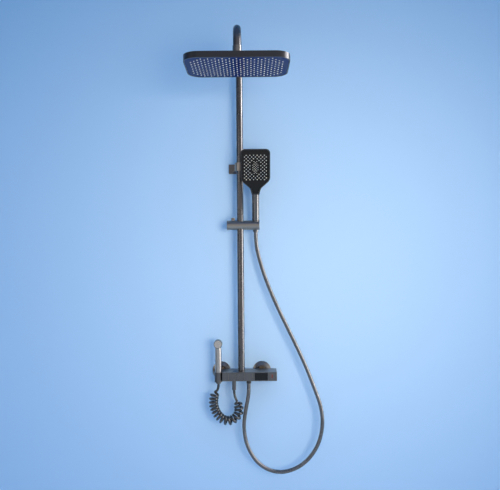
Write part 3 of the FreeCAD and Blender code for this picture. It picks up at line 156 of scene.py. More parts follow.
class Groups:
    """Shader node groups that several finishes share, each built once."""

    @staticmethod
    def start(name: str, inputs: dict[str, float | None], outputs: Iterable[str]) -> Tree:
        """Make an empty group with named sockets.

        Args:
            name: The group's name.
            inputs: Socket names with their default values, None for a vector.
            outputs: Names of the value sockets that the group puts out.

        Returns:
            The new node tree.
        """
        tree = bpy.data.node_groups.new(name, "ShaderNodeTree")
        for label, value in inputs.items():
            kind = "NodeSocketVector" if value is None else "NodeSocketFloat"
            socket = tree.interface.new_socket(label, in_out="INPUT", socket_type=kind)
            if value is not None:
                socket.default_value = value
        for label in outputs:
            tree.interface.new_socket(label, in_out="OUTPUT", socket_type="NodeSocketFloat")
        tree.nodes.new("NodeGroupInput").name = "in"
        tree.nodes.new("NodeGroupOutput").name = "out"
        return tree

    @classmethod
    @cache
    def fine_grain(cls) -> Tree:
        """Build the group of fine lines or speckle.

        Returns:
            The group, which puts out a tone from 0 to 1 and a height.
        """
        tree = cls.start("fine_grain", {"Vector": None, "Scale": 400.0}, ("Tone", "Height"))
        inside, outside = tree.nodes["in"], tree.nodes["out"]
        fine = add_node(tree, "TexNoise", {"Detail": 3.0, "Roughness": 0.6})
        broad = add_node(tree, "TexNoise", {"Scale": 9.0, "Detail": 2.0})
        mixed = add_node(tree, "Math", {1: FINE_SHARE}, operation="MULTIPLY_ADD")
        spread = add_node(tree, "Math", {1: BROAD_SHARE}, operation="MULTIPLY")
        wire(
            tree,
            (inside, "Vector", fine, "Vector"),
            (inside, "Scale", fine, "Scale"),
            (inside, "Vector", broad, "Vector"),
            (fine, "Fac", mixed, 0),
            (broad, "Fac", spread, 0),
            (spread, "Value", mixed, 2),
            (mixed, "Value", outside, "Tone"),
            (fine, "Fac", outside, "Height"),
        )
        return tree

    @classmethod
    @cache
    def water_marks(cls) -> Tree:
        """Build the group of faint wipe marks and dried drops.

        Returns:
            The group, which puts out a mask from 0 to 1.
        """
        tree = cls.start("water_marks", {"Vector": None, "Scale": 60.0}, ("Mask",))
        inside, outside = tree.nodes["in"], tree.nodes["out"]
        smear = add_node(tree, "TexNoise", {"Scale": 14.0, "Detail": 5.0})
        drops = add_node(tree, "TexVoronoi", feature="F1")
        edge = add_node(tree, "MapRange", {"From Min": 0.16, "From Max": 0.2, "To Min": 0.12, "To Max": 0.0})
        both = add_node(tree, "Math", operation="ADD", use_clamp=True)
        wire(
            tree,
            (inside, "Vector", smear, "Vector"),
            (inside, "Vector", drops, "Vector"),
            (inside, "Scale", drops, "Scale"),
            (drops, "Distance", edge, "Value"),
            (smear, "Fac", both, 0),
            (edge, "Result", both, 1),
            (both, "Value", outside, "Mask"),
        )
        return tree


@dataclass(frozen=True)
class Finish:
    """A surface finish with its fine grain, wipe marks and relief.

    Attributes:
        name: The material's name.
        slot: The record's slot that the finish belongs to; not used.
        low: Colour in the hollows of the grain.
        high: Colour on the crests of the grain.
        sheen: Lowest and highest roughness.
        metallic: How far the surface is metal, 0 or 1.
        grain: The way the fine lines run.
        scale: Fineness of the grain, in cells per metre before its stretch.
        relief: Height of the grain in millimetres.
        coat: Weight of a clear coat.
        specular: Specular level of a surface that isn't metal.
        groove: Painted shade colour in the grooves that the piece's own groove attribute marks, or None.
    """

    name: str
    slot: Slot
    low: Color
    high: Color
    sheen: Pair
    metallic: float = 1.0
    grain: Grain = Grain.EVEN
    scale: float = 900.0
    relief: float = 0.02
    coat: float = 0.0
    specular: float = 0.5
    groove: Color | None = None

    @cache
    def material(self) -> bpy.types.Material:
        """Build the material, once for each finish.

        Returns:
            The finish as a node material.
        """
        made = bpy.data.materials.new(self.name)
        made.use_nodes = True
        tree = made.node_tree
        shader = tree.nodes["Principled BSDF"]
        set_inputs(shader, {"Metallic": self.metallic, "Specular IOR Level": self.specular})
        set_inputs(shader, {"Coat Weight": self.coat, "Coat Roughness": COAT_ROUGHNESS})
        place = add_node(tree, "TexCoord")
        lines = add_node(tree, "Mapping", {"Scale": self.grain.value})
        grain = add_node(tree, "Group", {"Scale": self.scale}, node_tree=Groups.fine_grain())
        marks = add_node(tree, "Group", node_tree=Groups.water_marks())
        color = add_node(tree, "Mix", {"A": (*self.low, 1.0), "B": (*self.high, 1.0)}, data_type="RGBA")
        spans = zip(("From Min", "From Max", "To Min", "To Max"), MARK_RANGE + self.sheen, strict=True)
        gloss = add_node(tree, "MapRange", dict(spans))
        bump = add_node(tree, "Bump", {"Strength": BUMP_STRENGTH, "Distance": self.relief * MM})
        wire(
            tree,
            (place, "Object", lines, "Vector"),
            (lines, "Vector", grain, "Vector"),
            (place, "Object", marks, "Vector"),
            (grain, "Tone", color, "Factor"),
            (marks, "Mask", gloss, "Value"),
            (gloss, "Result", shader, "Roughness"),
            (grain, "Height", bump, "Height"),
            (bump, "Normal", shader, "Normal"),
        )
        # Painted shade: the groove attribute mixes the base colour towards the groove colour, darkening the
        # hose's grooves.
        if self.groove is not None:
            depth = add_node(tree, "Attribute", attribute_name=GROOVE)
            shade = add_node(tree, "Mix", {"B": (*self.groove, 1.0)}, data_type="RGBA")
            wire(tree, (depth, "Fac", shade, "Factor"), (color, "Result", shade, "A"))
            color = shade
        wire(tree, (color, "Result", shader, "Base Color"))
        return made


CAST_GUNMETAL = Finish(
    "cast_gunmetal", Slot.GUNMETAL, low=(0.13, 0.124, 0.128), high=(0.18, 0.17, 0.172),
    sheen=(0.24, 0.38), grain=Grain.ALONG_X, scale=700.0,
)
DRAWN_GUNMETAL = Finish(
    "drawn_gunmetal", Slot.GUNMETAL, low=(0.12, 0.115, 0.12), high=(0.158, 0.151, 0.154),
    sheen=(0.22, 0.34), grain=Grain.ALONG_Z, scale=700.0,
)
TURNED_GUNMETAL = Finish(
    "turned_gunmetal", Slot.GUNMETAL, low=(0.2, 0.19, 0.185), high=(0.28, 0.262, 0.25),
    sheen=(0.2, 0.34), grain=Grain.ROUND_Z,
)
# Slider, cradle and bracket clamp: gunmetal with brushed lines, its base lighter and warmer than the other
# gunmetal, a painted highlight.
BRUSHED_HOLDER_PAINTED_HIGHLIGHT = Finish(
    "brushed_holder_painted_highlight", Slot.GUNMETAL, low=(0.3, 0.265, 0.235), high=(0.385, 0.34, 0.3),
    sheen=(0.26, 0.38), grain=Grain.ALONG_X, scale=800.0,
)
# Inlet nuts: gunmetal tinted warm, a painted glint that stands in for the warm glint over the nuts.
WARM_NUT_PAINTED_GLINT = Finish(
    "warm_nut_painted_glint", Slot.GUNMETAL, low=(0.3, 0.21, 0.13), high=(0.4, 0.29, 0.18),
    sheen=(0.24, 0.36), scale=800.0,
)
COATED_SHELL = Finish(
    "coated_shell", Slot.COATED, low=(0.058, 0.057, 0.062), high=(0.084, 0.082, 0.086),
    sheen=(0.26, 0.4), scale=1400.0,
)
COATED_HANDLE = Finish(
    "coated_handle", Slot.COATED, low=(0.14, 0.134, 0.134), high=(0.19, 0.18, 0.177),
    sheen=(0.22, 0.34), grain=Grain.ALONG_Z, scale=800.0,
)
# Rain head face: black gloss with a navy base, a painted reflection of the blue surroundings, and a low
# specular.
GLOSS_FACE_PAINTED_REFLECTION = Finish(
    "gloss_face_painted_reflection", Slot.GLOSS, low=(0.002, 0.013, 0.092), high=(0.004, 0.017, 0.118),
    sheen=(0.14, 0.26), metallic=0.0, specular=0.05,
)
BLACK_FACE = Finish(
    "black_face", Slot.GLOSS, low=(0.008, 0.008, 0.009), high=(0.012, 0.012, 0.013),
    sheen=(0.12, 0.24), metallic=0.0, specular=0.2,
)
DISPLAY_GLASS = Finish(
    "display_glass", Slot.GLOSS, low=(0.004, 0.004, 0.005), high=(0.007, 0.007, 0.009),
    sheen=(0.05, 0.12), metallic=0.0, specular=0.3,
)
PALE_PLATE = Finish(
    "pale_plate", Slot.GUNMETAL, low=(0.62, 0.55, 0.5), high=(0.72, 0.65, 0.6),
    sheen=(0.3, 0.42), scale=1200.0,
)
MACHINED_BRASS = Finish(
    "machined_brass", Slot.BRASS, low=(0.5, 0.36, 0.15), high=(0.62, 0.47, 0.23),
    sheen=(0.22, 0.36), grain=Grain.ROUND_Z, scale=800.0,
)
BRIGHT_STEEL = Finish(
    "bright_steel", Slot.STEEL, low=(0.44, 0.44, 0.44), high=(0.56, 0.56, 0.55),
    sheen=(0.18, 0.3),
)
MOULDED_RUBBER = Finish(
    "moulded_rubber", Slot.RUBBER, low=(0.02, 0.02, 0.02), high=(0.04, 0.04, 0.04),
    sheen=(0.55, 0.75), metallic=0.0,
)
INNER_MOULDING = Finish(
    "inner_moulding", Slot.INNER, low=(0.09, 0.09, 0.09), high=(0.14, 0.14, 0.14),
    sheen=(0.4, 0.55), metallic=0.0,
)
# Rain head nozzles: white silicone made darker and bluer than the hand shower's, painted shade for the head's
# underside.
NOZZLE_SILICONE_PAINTED_SHADE = Finish(
    "nozzle_silicone_painted_shade", Slot.SILICONE, low=(0.5, 0.53, 0.58), high=(0.62, 0.65, 0.7),
    sheen=(0.4, 0.55), metallic=0.0, relief=0.01,
)
NOZZLE_WHITE = Finish(
    "nozzle_white", Slot.SILICONE, low=(0.7, 0.71, 0.7), high=(0.78, 0.79, 0.78),
    sheen=(0.4, 0.55), metallic=0.0, relief=0.01,
)
HEAT_RED = Finish(
    "heat_red", Slot.GLOSS, low=(0.2, 0.055, 0.045), high=(0.26, 0.07, 0.055),
    sheen=(0.2, 0.32), metallic=0.0,
)
# Metal hose skin; its groove colour is painted shade in the wound grooves.
HOSE_STEEL = Finish(
    "hose_steel", Slot.HOSE, low=(0.19, 0.18, 0.18), high=(0.27, 0.255, 0.25),
    sheen=(0.22, 0.36), scale=1500.0, groove=(0.09, 0.085, 0.085),
)
CURLY_SKIN = Finish(
    "curly_skin", Slot.HOSE, low=(0.01, 0.0095, 0.01), high=(0.018, 0.017, 0.017),
    sheen=(0.14, 0.26), metallic=0.0, scale=1500.0, coat=1.0,
)
# Sprayer handle: satin metal in the gunmetal slot, with a base much lighter than the other gunmetal pieces.
LIGHT_SATIN_METAL = Finish(
    "light_satin_metal", Slot.GUNMETAL, low=(0.42, 0.395, 0.385), high=(0.5, 0.47, 0.455),
    sheen=(0.26, 0.38), grain=Grain.ALONG_Z, scale=800.0,
)


def put_in(name: str, data: bpy.types.ID) -> Piece:
    """Put a new object in the scene.

    Args:
        name: Its name.
        data: Its mesh, light or camera.

    Returns:
        The new object.
    """
    made = bpy.data.objects.new(name, data)
    bpy.context.scene.collection.objects.link(made)
    return made


def make_object(name: str, shape: Shape, material: bpy.types.Material) -> Piece:
    """Make an object of a shape and put it in the scene.

    Args:
        name: Its name.
        shape: The modelled shape in metres, which is freed.
        material: Its material.

    Returns:
        The new object, at the origin.
    """
    mesh = bpy.data.meshes.new(name)
    shape.to_mesh(mesh)
    shape.free()
    mesh.materials.append(material)
    return put_in(name, mesh)


@dataclass(frozen=True)
class Shop:
    """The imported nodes, and what every sub-assembly does with a piece.

    Attributes:
        nodes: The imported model's objects by node name.
    """

    nodes: dict[str, Piece]

    def dress(self, finish: Finish, *names: str) -> None:
        """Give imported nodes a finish.

        Args:
            finish: The finish.
            names: Names of the nodes that take it.
        """
        for name in names:
            node = self.nodes[name]
            node.data.materials.clear()
            node.data.materials.append(finish.material())
            log.info("dressed %s as %s", name, finish.name)

    @staticmethod
    def piece(name: str, shape: Shape, finish: Finish) -> Piece:
        """Turn a shape into a piece of the object.

        Args:
            name: The piece's name.
            shape: The modelled shape in metres, which is freed.
            finish: The finish it gets.

        Returns:
            The new object, at the origin.
        """
        bmesh.ops.recalc_face_normals(shape, faces=shape.faces[:])
        made = make_object(name, shape, finish.material())
        made.data.polygons.foreach_set("use_smooth", [True] * len(made.data.polygons))
        made.data.set_sharp_from_angle(angle=SMOOTH_ANGLE)
        log.info("made %s, %d faces", name, len(made.data.polygons))
        return made


@dataclass(frozen=True)
class Nozzle:
    """A spray nozzle: a small cone with a sunk outlet.

    Attributes:
        root: Radius at the root.
        tip: Radius at the tip.
        height: Height from root to tip.
        sunk: How deep the root stands in its face.
        rim: Width of the rim round the outlet, as a share of the tip's radius.
        depth: Depth of the outlet, as a share of the height.
        sides: Faces round the cone.
    """

    root: float
    tip: float
    height: float
    sunk: float = 0.2
    rim: float = 0.45
    depth: float = 0.35
    sides: int = 10

    def add(self, shape: Shape, place: Matrix) -> None:
        """Set one nozzle on a face.

        Args:
            shape: The shape that takes the nozzle.
            place: Its place on the face, with local Z pointing out of it, in metres.
        """
        middle = place @ Matrix.Translation((0, 0, (self.height / 2 - self.sunk) * MM))
        made = bmesh.ops.create_cone(
            shape, cap_ends=True, segments=self.sides, matrix=middle,
            radius1=self.root * MM, radius2=self.tip * MM, depth=self.height * MM,
        )
        out = place.to_3x3() @ Vector((0, 0, 1))
        faces = {face for vert in made["verts"] for face in vert.link_faces}
        cap = max(faces, key=lambda face: face.calc_center_median().dot(out))
        rim, depth = self.tip * self.rim * MM, self.height * self.depth * MM
        bmesh.ops.inset_individual(shape, faces=[cap], thickness=rim, depth=-depth)


def draw_out(shape: Shape, reach: float) -> None:
    """Draw a round shape out along local Y, by a reach in millimetres each way."""
    for vert in shape.verts:
        vert.co.y += math.copysign(reach * MM, vert.co.y)


def soften(shape: Shape, offset: float) -> None:
    """Round the sharp edges of a shape.

    Args:
        shape: The shape in metres.
        offset: How far from each edge the rounding starts, in millimetres.
    """
    rims = [edge for edge in shape.edges if edge.calc_face_angle(0.0) > SMOOTH_ANGLE]
    bmesh.ops.bevel(
        shape, geom=rims, affect="EDGES", offset=offset * MM, offset_type="OFFSET",
        segments=2, profile=0.5, material=-1,
    )


def in_round_box(across: float, up: float, half: Pair, corner: float) -> bool:
    """Tell whether a point lies in a rectangle with round corners.

    Args:
        across: The point's first coordinate.
        up: The point's second coordinate.
        half: Half the rectangle's sides.
        corner: Radius of its corners.

    Returns:
        True if the point is inside.
    """
    past = (max(0.0, abs(across) - half[0] + corner), max(0.0, abs(up) - half[1] + corner))
    return math.hypot(*past) <= corner


def lattice(half: Pair, corner: float, pitch: Pair) -> Iterator[Pair]:
    """Give the places of a diamond lattice inside a rectangle with round corners.

    Args:
        half: Half the rectangle's sides in millimetres.
        corner: Radius of its corners.
        pitch: Distance from column to column, and from place to place in a column.

    Yields:
        Each place across and along.
    """
    columns = int(half[0] / pitch[0])
    rows = int(half[1] / pitch[1]) + 1
    for column in range(-columns, columns + 1):
        shift = pitch[1] / 2 if column % 2 else 0.0
        for row in range(-rows, rows + 1):
            place = (column * pitch[0], row * pitch[1] + shift)
            if in_round_box(*place, half, corner):
                yield place


def no_sink(number: int, angle: float) -> float:
    """Return the depth of a smooth tube's wall, which is nowhere sunk."""
    return 0.0


@dataclass
class Line:
    """A smooth line with frames along it, evenly spaced.

    Attributes:
        points: Points of the line in metres.
        step: Distance between them in metres.
        frames: A matrix at each point, with local Z along the line.
    """

    points: list[Vector]
    step: float = 0.0
    frames: list[Matrix] = field(default_factory=list)

    @classmethod
    def through(cls, controls: Iterable[Point], step: float) -> "Line":
        """Make the line of a NURBS spline.

        Args:
            controls: The spline's control points in millimetres.
            step: Spacing of the line's points in millimetres.

        Returns:
            The line, read from the spline with no bevel.
        """
        places = [Vector(point) * MM for point in controls]
        curve = bpy.data.curves.new("route", "CURVE")
        curve.dimensions = "3D"
        curve.resolution_u = SPLINE_RESOLUTION
        spline = curve.splines.new("NURBS")
        spline.points.add(len(places) - 1)
        for point, place in zip(spline.points, places, strict=True):
            point.co = (*place, 1.0)
        spline.order_u = 3
        spline.use_endpoint_u = True
        holder = bpy.data.objects.new("route", curve)
        mesh = bpy.data.meshes.new_from_object(holder)
        points = [vert.co.copy() for vert in mesh.vertices]
        bpy.data.meshes.remove(mesh)
        bpy.data.objects.remove(holder)
        bpy.data.curves.remove(curve)
        return cls(points).evenly(step * MM)

    def evenly(self, step: float) -> "Line":
        """Space the points of the line evenly.

        Args:
            step: About how far apart the points come to lie, in metres.

        Returns:
            The same line with new points and frames.
        """
        along = [0.0]
        for before, after in pairwise(self.points):
            along.append(along[-1] + (after - before).length)
        count = max(2, round(along[-1] / step))
        spaced, index = [], 0
        for number in range(count + 1):
            at = along[-1] * number / count
            while index < len(along) - 2 and along[index + 1] < at:
                index += 1
            share = (at - along[index]) / max(along[index + 1] - along[index], TINY)
            spaced.append(self.points[index].lerp(self.points[index + 1], share))
        made = Line(spaced, along[-1] / count)
        made.turn_frames()
        return made

    def turn_frames(self) -> None:
        """Carry a frame along the line without twist."""
        last = len(self.points) - 1
        side = Vector((0, 1, 0))
        self.frames = []
        for number, point in enumerate(self.points):
            heading = (self.points[min(number + 1, last)] - self.points[max(number - 1, 0)]).normalized()
            side = (side - heading * side.dot(heading)).normalized()
            turn = Matrix((side, heading.cross(side), heading)).transposed().to_4x4()
            self.frames.append(Matrix.Translation(point) @ turn)

    @property
    def length(self) -> float:
        """Length of the line in metres."""
        return self.step * (len(self.points) - 1)

    def tube(
        self, radius: float, sides: int, sink: Sink = no_sink, first: int = 0, last: int | None = None
    ) -> Shape:
        """Roll a tube round part of the line.

        Args:
            radius: The tube's radius in millimetres.
            sides: Faces round it.
            sink: Gives how deep the wall is sunk at a point number and an angle, in millimetres.
            first: Number of the first point.
            last: Number of the last point, or None for the line's end.

        Returns:
            The closed tube, with its sink as the groove attribute.
        """
        shape = bmesh.new()
        rings = (len(self.points) - 1 if last is None else last) - first
        bmesh.ops.create_grid(shape, x_segments=sides, y_segments=rings, size=0.5)
        mark = shape.verts.layers.float.new(GROOVE)
        deepest = TINY
        for vert in shape.verts:
            number = first + round((vert.co.y + 0.5) * rings)
            angle = (vert.co.x + 0.5) * 2 * math.pi
            depth = sink(number, angle)
            deepest = max(deepest, depth)
            reach = (radius - depth) * MM
            vert[mark] = depth
            vert.co = self.frames[number] @ Vector((reach * math.cos(angle), reach * math.sin(angle), 0))
        for vert in shape.verts:
            vert[mark] /= deepest
        bmesh.ops.remove_doubles(shape, verts=shape.verts[:], dist=WELD)
        rims = [edge for edge in shape.edges if edge.is_boundary]
        bmesh.ops.edgeloop_fill(shape, edges=rims)
        return shape


@dataclass(frozen=True)
class Lamp:
    """A soft rectangular light, which the camera doesn't see.

    Attributes:
        name: Its name.
        place: Where it hangs.
        aim: What it points at.
        sides: Its width and height.
        power: Its power in watts.
        color: Its colour.
        spread: Angle over which it shines, in degrees.
        diffuse: Whether it lights matt surfaces.
        glossy: Whether polished surfaces mirror it.
    """

    name: str
    place: Point
    aim: Point
    sides: Pair
    power: float
    color: Color
    spread: float = 180.0
    diffuse: bool = True
    glossy: bool = True

    def hang(self) -> None:
        """Hang the light in the scene."""
        data = bpy.data.lights.new(self.name, "AREA")
        data.shape = "RECTANGLE"
        data.size, data.size_y = (side * MM for side in self.sides)
        data.energy = self.power
        data.color = self.color
        data.spread = math.radians(self.spread)
        light = put_in(self.name, data)
        start = Vector(self.place) * MM
        facing = (Vector(self.aim) * MM - start).to_track_quat("-Z", "Y").to_matrix().to_4x4()
        light.matrix_world = Matrix.Translation(start) @ facing
        light.visible_diffuse = self.diffuse
        light.visible_glossy = self.glossy
        light.visible_camera = False


WARM = (1.0, 0.8, 0.56)
PALE = (1.0, 0.98, 0.95)
LAMPS = (
    Lamp("wash", (750, -2300, 480), (230, 0, 430), (900, 900), 7.4, WARM, spread=70.0, glossy=False),
    Lamp("ground", (0, -3000, 2000), (0, -3000, 0), (4000, 4000), 46.0, PALE, spread=130.0, glossy=False),
    Lamp("right_strip", (1500, -420, 620), (0, -150, 560), (600, 1700), 28.0, PALE, diffuse=False),
    Lamp("left_strip", (-1400, -1500, 560), (0, -100, 480), (500, 1500), 5.0, PALE, diffuse=False),
    Lamp("corner_strip", (1000, -180, 1280), (150, -500, 1000), (350, 300), 4.0, PALE, diffuse=False),
)


@dataclass
class Studio:
    """Wall, floor, lights and the camera at the photograph's place.

    Attributes:
        eye: The camera's place.
        lens: The camera's focal length.
        roll: How far the camera leans clockwise, in degrees.
        wall: Middle of the wall, a little behind the mounting plane.
        floor: Middle of the floor.
        half: Half the side of wall and floor.
        wall_color: Colour of the wall.
        floor_color: Colour of the floor.
        backdrop: Colour that the camera sees past wall and floor.
        ambient: Light from all round on matt surfaces.
        sky: Colour that polished surfaces mirror from above.
        room: Brightness that they mirror from left to right, as positions with levels.
        room_tone: Tint of that brightness.
        horizon: Heights of a mirrored direction between which the room goes over to the sky.
    """

    eye: Point = (34.4, -2234.0, 465.4)
    lens: float = 43.2
    roll: float = 0.45
    wall: Point = (0.0, 0.8, 600.0)
    floor: Point = (0.0, -3000.0, -900.0)
    half: float = 3000.0
    wall_color: Color = (0.42, 0.63, 0.94)
    floor_color: Color = (0.82, 0.82, 0.83)
    backdrop: Color = (0.72, 0.84, 0.97)
    ambient: Color = (0.2, 0.38, 0.55)
    sky: Color = (0.18, 0.3, 0.56)
    room: tuple[Pair, ...] = ((0.0, 0.06), (0.25, 0.22), (0.5, 0.62), (0.78, 0.6), (1.0, 0.9))
    room_tone: Color = (1.0, 0.97, 0.96)
    horizon: Pair = (0.2, 0.65)

    def build(self) -> None:
        """Make the whole studio."""
        self.add_camera()
        self.add_wall()
        self.add_floor()
        for lamp in LAMPS:
            lamp.hang()
        self.add_world()

    def add_camera(self) -> None:
        """Make the camera."""
        data = bpy.data.cameras.new("camera")
        data.lens = self.lens
        data.sensor_width = SENSOR_WIDTH
        data.clip_end = 50.0
        camera = put_in("camera", data)
        turn = QUARTER_TURN @ Matrix.Rotation(math.radians(-self.roll), 4, "Z")
        camera.matrix_world = Matrix.Translation(Vector(self.eye) * MM) @ turn
        bpy.context.scene.camera = camera

    def flat(self, name: str, place: Matrix, paint: bpy.types.Material) -> None:
        """Make a flat sheet of the stage.

        Args:
            name: Its name.
            place: Where it lies.
            paint: Its material.
        """
        shape = bmesh.new()
        bmesh.ops.create_grid(shape, x_segments=1, y_segments=1, size=self.half * MM, matrix=place)
        make_object(name, shape, paint)

    @staticmethod
    def paint(name: str, color: Color, roughness: float, specular: float) -> bpy.types.Material:
        """Mix a plain paint.

        Args:
            name: The material's name.
            color: Its colour.
            roughness: Its roughness.
            specular: Its specular level.

        Returns:
            The new material.
        """
        made = bpy.data.materials.new(name)
        made.use_nodes = True
        values = {"Base Color": (*color, 1.0), "Roughness": roughness, "Specular IOR Level": specular}
        set_inputs(made.node_tree.nodes["Principled BSDF"], values)
        return made

    def add_wall(self) -> None:
        """Hang a pale blue wall behind the object, which shows only from its front."""
        paint = self.paint("wall_paint", self.wall_color, roughness=0.7, specular=0.0)
        tree = paint.node_tree
        side = add_node(tree, "NewGeometry")
        clear = add_node(tree, "BsdfTransparent")
        choice = add_node(tree, "MixShader")
        wire(
            tree,
            (side, "Backfacing", choice, "Fac"),
            (tree.nodes["Principled BSDF"], "BSDF", choice, 1),
            (clear, "BSDF", choice, 2),
            (choice, "Shader", tree.nodes["Material Output"], "Surface"),
        )
        self.flat("wall", Matrix.Translation(Vector(self.wall) * MM) @ QUARTER_TURN, paint)

    def add_floor(self) -> None:
        """Lay a plain pale floor below the object."""
        paint = self.paint("floor_paint", self.floor_color, roughness=0.8, specular=0.5)
        self.flat("floor", Matrix.Translation(Vector(self.floor) * MM), paint)

    def add_world(self) -> None:
        """Give soft light, a plain background and a room for polished pieces to mirror."""
        world = bpy.data.worlds.new("studio")
        world.use_nodes = True
        bpy.context.scene.world = world
        tree = world.node_tree
        soft = tree.nodes["Background"]
        set_inputs(soft, {"Color": (*self.ambient, 1.0)})
        plain = add_node(tree, "Background", {"Color": (*self.backdrop, 1.0)})
        mirrored = add_node(tree, "Background")
        around = add_node(tree, "TexCoord")
        parts = add_node(tree, "SeparateXYZ")
        side = add_node(tree, "MapRange", {"From Min": -1.0})
        walls = add_node(tree, "ValToRGB")
        stops = walls.color_ramp.elements
        while len(stops) < len(self.room):
            stops.new(1.0)
        for stop, (position, level) in zip(stops, self.room, strict=True):
            stop.position = position
            stop.color = (*(level * part for part in self.room_tone), 1.0)
        height = add_node(tree, "MapRange", {"From Min": self.horizon[0], "From Max": self.horizon[1]})
        ceiling = add_node(tree, "Mix", {"B": (*self.sky, 1.0)}, data_type="RGBA")
        path = add_node(tree, "LightPath")
        gloss = add_node(tree, "Math", operation="MAXIMUM")
        polished = add_node(tree, "MixShader")
        seen = add_node(tree, "MixShader")
        wire(
            tree,
            (around, "Generated", parts, "Vector"),
            (parts, "X", side, "Value"),
            (parts, "Z", height, "Value"),
            (side, "Result", walls, "Fac"),
            (height, "Result", ceiling, "Factor"),
            (walls, "Color", ceiling, "A"),
            (ceiling, "Result", mirrored, "Color"),
            (path, "Is Glossy Ray", gloss, 0),
            (path, "Is Transmission Ray", gloss, 1),
            (gloss, "Value", polished, "Fac"),
            (soft, "Background", polished, 1),
            (mirrored, "Background", polished, 2),
            (path, "Is Camera Ray", seen, "Fac"),
            (polished, "Shader", seen, 1),
            (plain, "Background", seen, 2),
            (seen, "Shader", tree.nodes["World Output"], "Surface"),
        )


@dataclass
class Assembly(ABC):
    """A sub-assembly of the shower.

    Attributes:
        shop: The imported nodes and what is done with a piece.
    """

    shop: Shop

    @abstractmethod
    def build(self) -> None:
        """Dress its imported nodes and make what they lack."""


@dataclass
class ShowerHose(Assembly):
    """Metal hose from the valve to the hand shower.

    It is a loop hung on the column, then three lengths: the rise, the neck at the cradle and the tip at the
    hand shower.

    Attributes:
        radius: Outer radius.
        sides: Faces round it.
        pitch: Distance from groove to groove of its wound skin.
        rings: Rings of the skin in one pitch.
        groove: Depth of the groove.
        groove_share: Half the groove's width, as a share of the pitch.
        tip: Length at the hand shower's end.
        neck: Length below it, at the cradle.
        rise: Height below which the hose hangs still.
        lean: Direction along which the rise would go over to the slider, aslant so as not to crush the tube;
            not used.
        controls: Control points of its route, from the valve up.
    """

    radius: float = 7.0
    sides: int = 20
    pitch: float = 2.4
    rings: int = 4
    groove: float = 0.3
    groove_share: float = 0.25
    tip: float = 34.0
    neck: float = 60.0
    rise: float = 120.0
    lean: Point = (-0.966, 0.0, 0.259)
    controls: tuple[Point, ...] = (
        (26.5, -68.0, -33.0), (26.5, -68.0, -72.0), (14.0, -68.0, -130.0), (5.0, -68.0, -195.0),
        (20.0, -68.0, -270.0), (66.0, -68.0, -335.0), (138.0, -68.0, -361.0), (215.0, -69.0, -335.0),
        (268.0, -70.0, -275.0), (291.0, -70.0, -205.0), (290.0, -70.0, -130.0), (262.0, -70.0, -50.0),
        (225.0, -70.0, 45.0), (180.0, -70.0, 140.0), (134.0, -68.0, 235.0), (96.0, -62.0, 325.0),
        (70.0, -56.0, 405.0), (55.5, -53.65, 469.51), (55.5, -63.01, 513.52),
    )

    def build(self) -> None:
        """Make the four lengths and hang them."""
        line = Line.through(self.controls, self.pitch / self.rings)
        top = len(line.points) - 1
        at_tip = top - round(self.tip * MM / line.step)
        at_neck = at_tip - round(self.neck * MM / line.step)
        at_rise = max(number for number, point in enumerate(line.points) if point.z <= self.rise * MM)

        def sink(number: int, angle: float) -> float:
            """Return the depth of the wound groove at a ring and an angle."""
            turn = number * line.step / MM / self.pitch + angle / (2 * math.pi)
            return self.groove * max(0.0, 1 - abs(turn - round(turn)) / self.groove_share)

        cuts = zip(("loop", "rise", "neck", "tip"), pairwise((0, at_rise, at_neck, at_tip, top)), strict=True)
        loop, rise, neck, tip = (
            self.shop.piece(f"shower_hose_{name}", line.tube(self.radius, self.sides, sink, *cut), HOSE_STEEL)
            for name, cut in cuts
        )
        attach(loop, "column")
        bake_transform(rise)
        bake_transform(neck)
        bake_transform(tip)
        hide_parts("shower_hose")


def smooth(share: float) -> float:
    """Return a share from 0 to 1 eased at both ends."""
    inside = max(0.0, min(1.0, share))
    return inside * inside * (3 - 2 * inside)


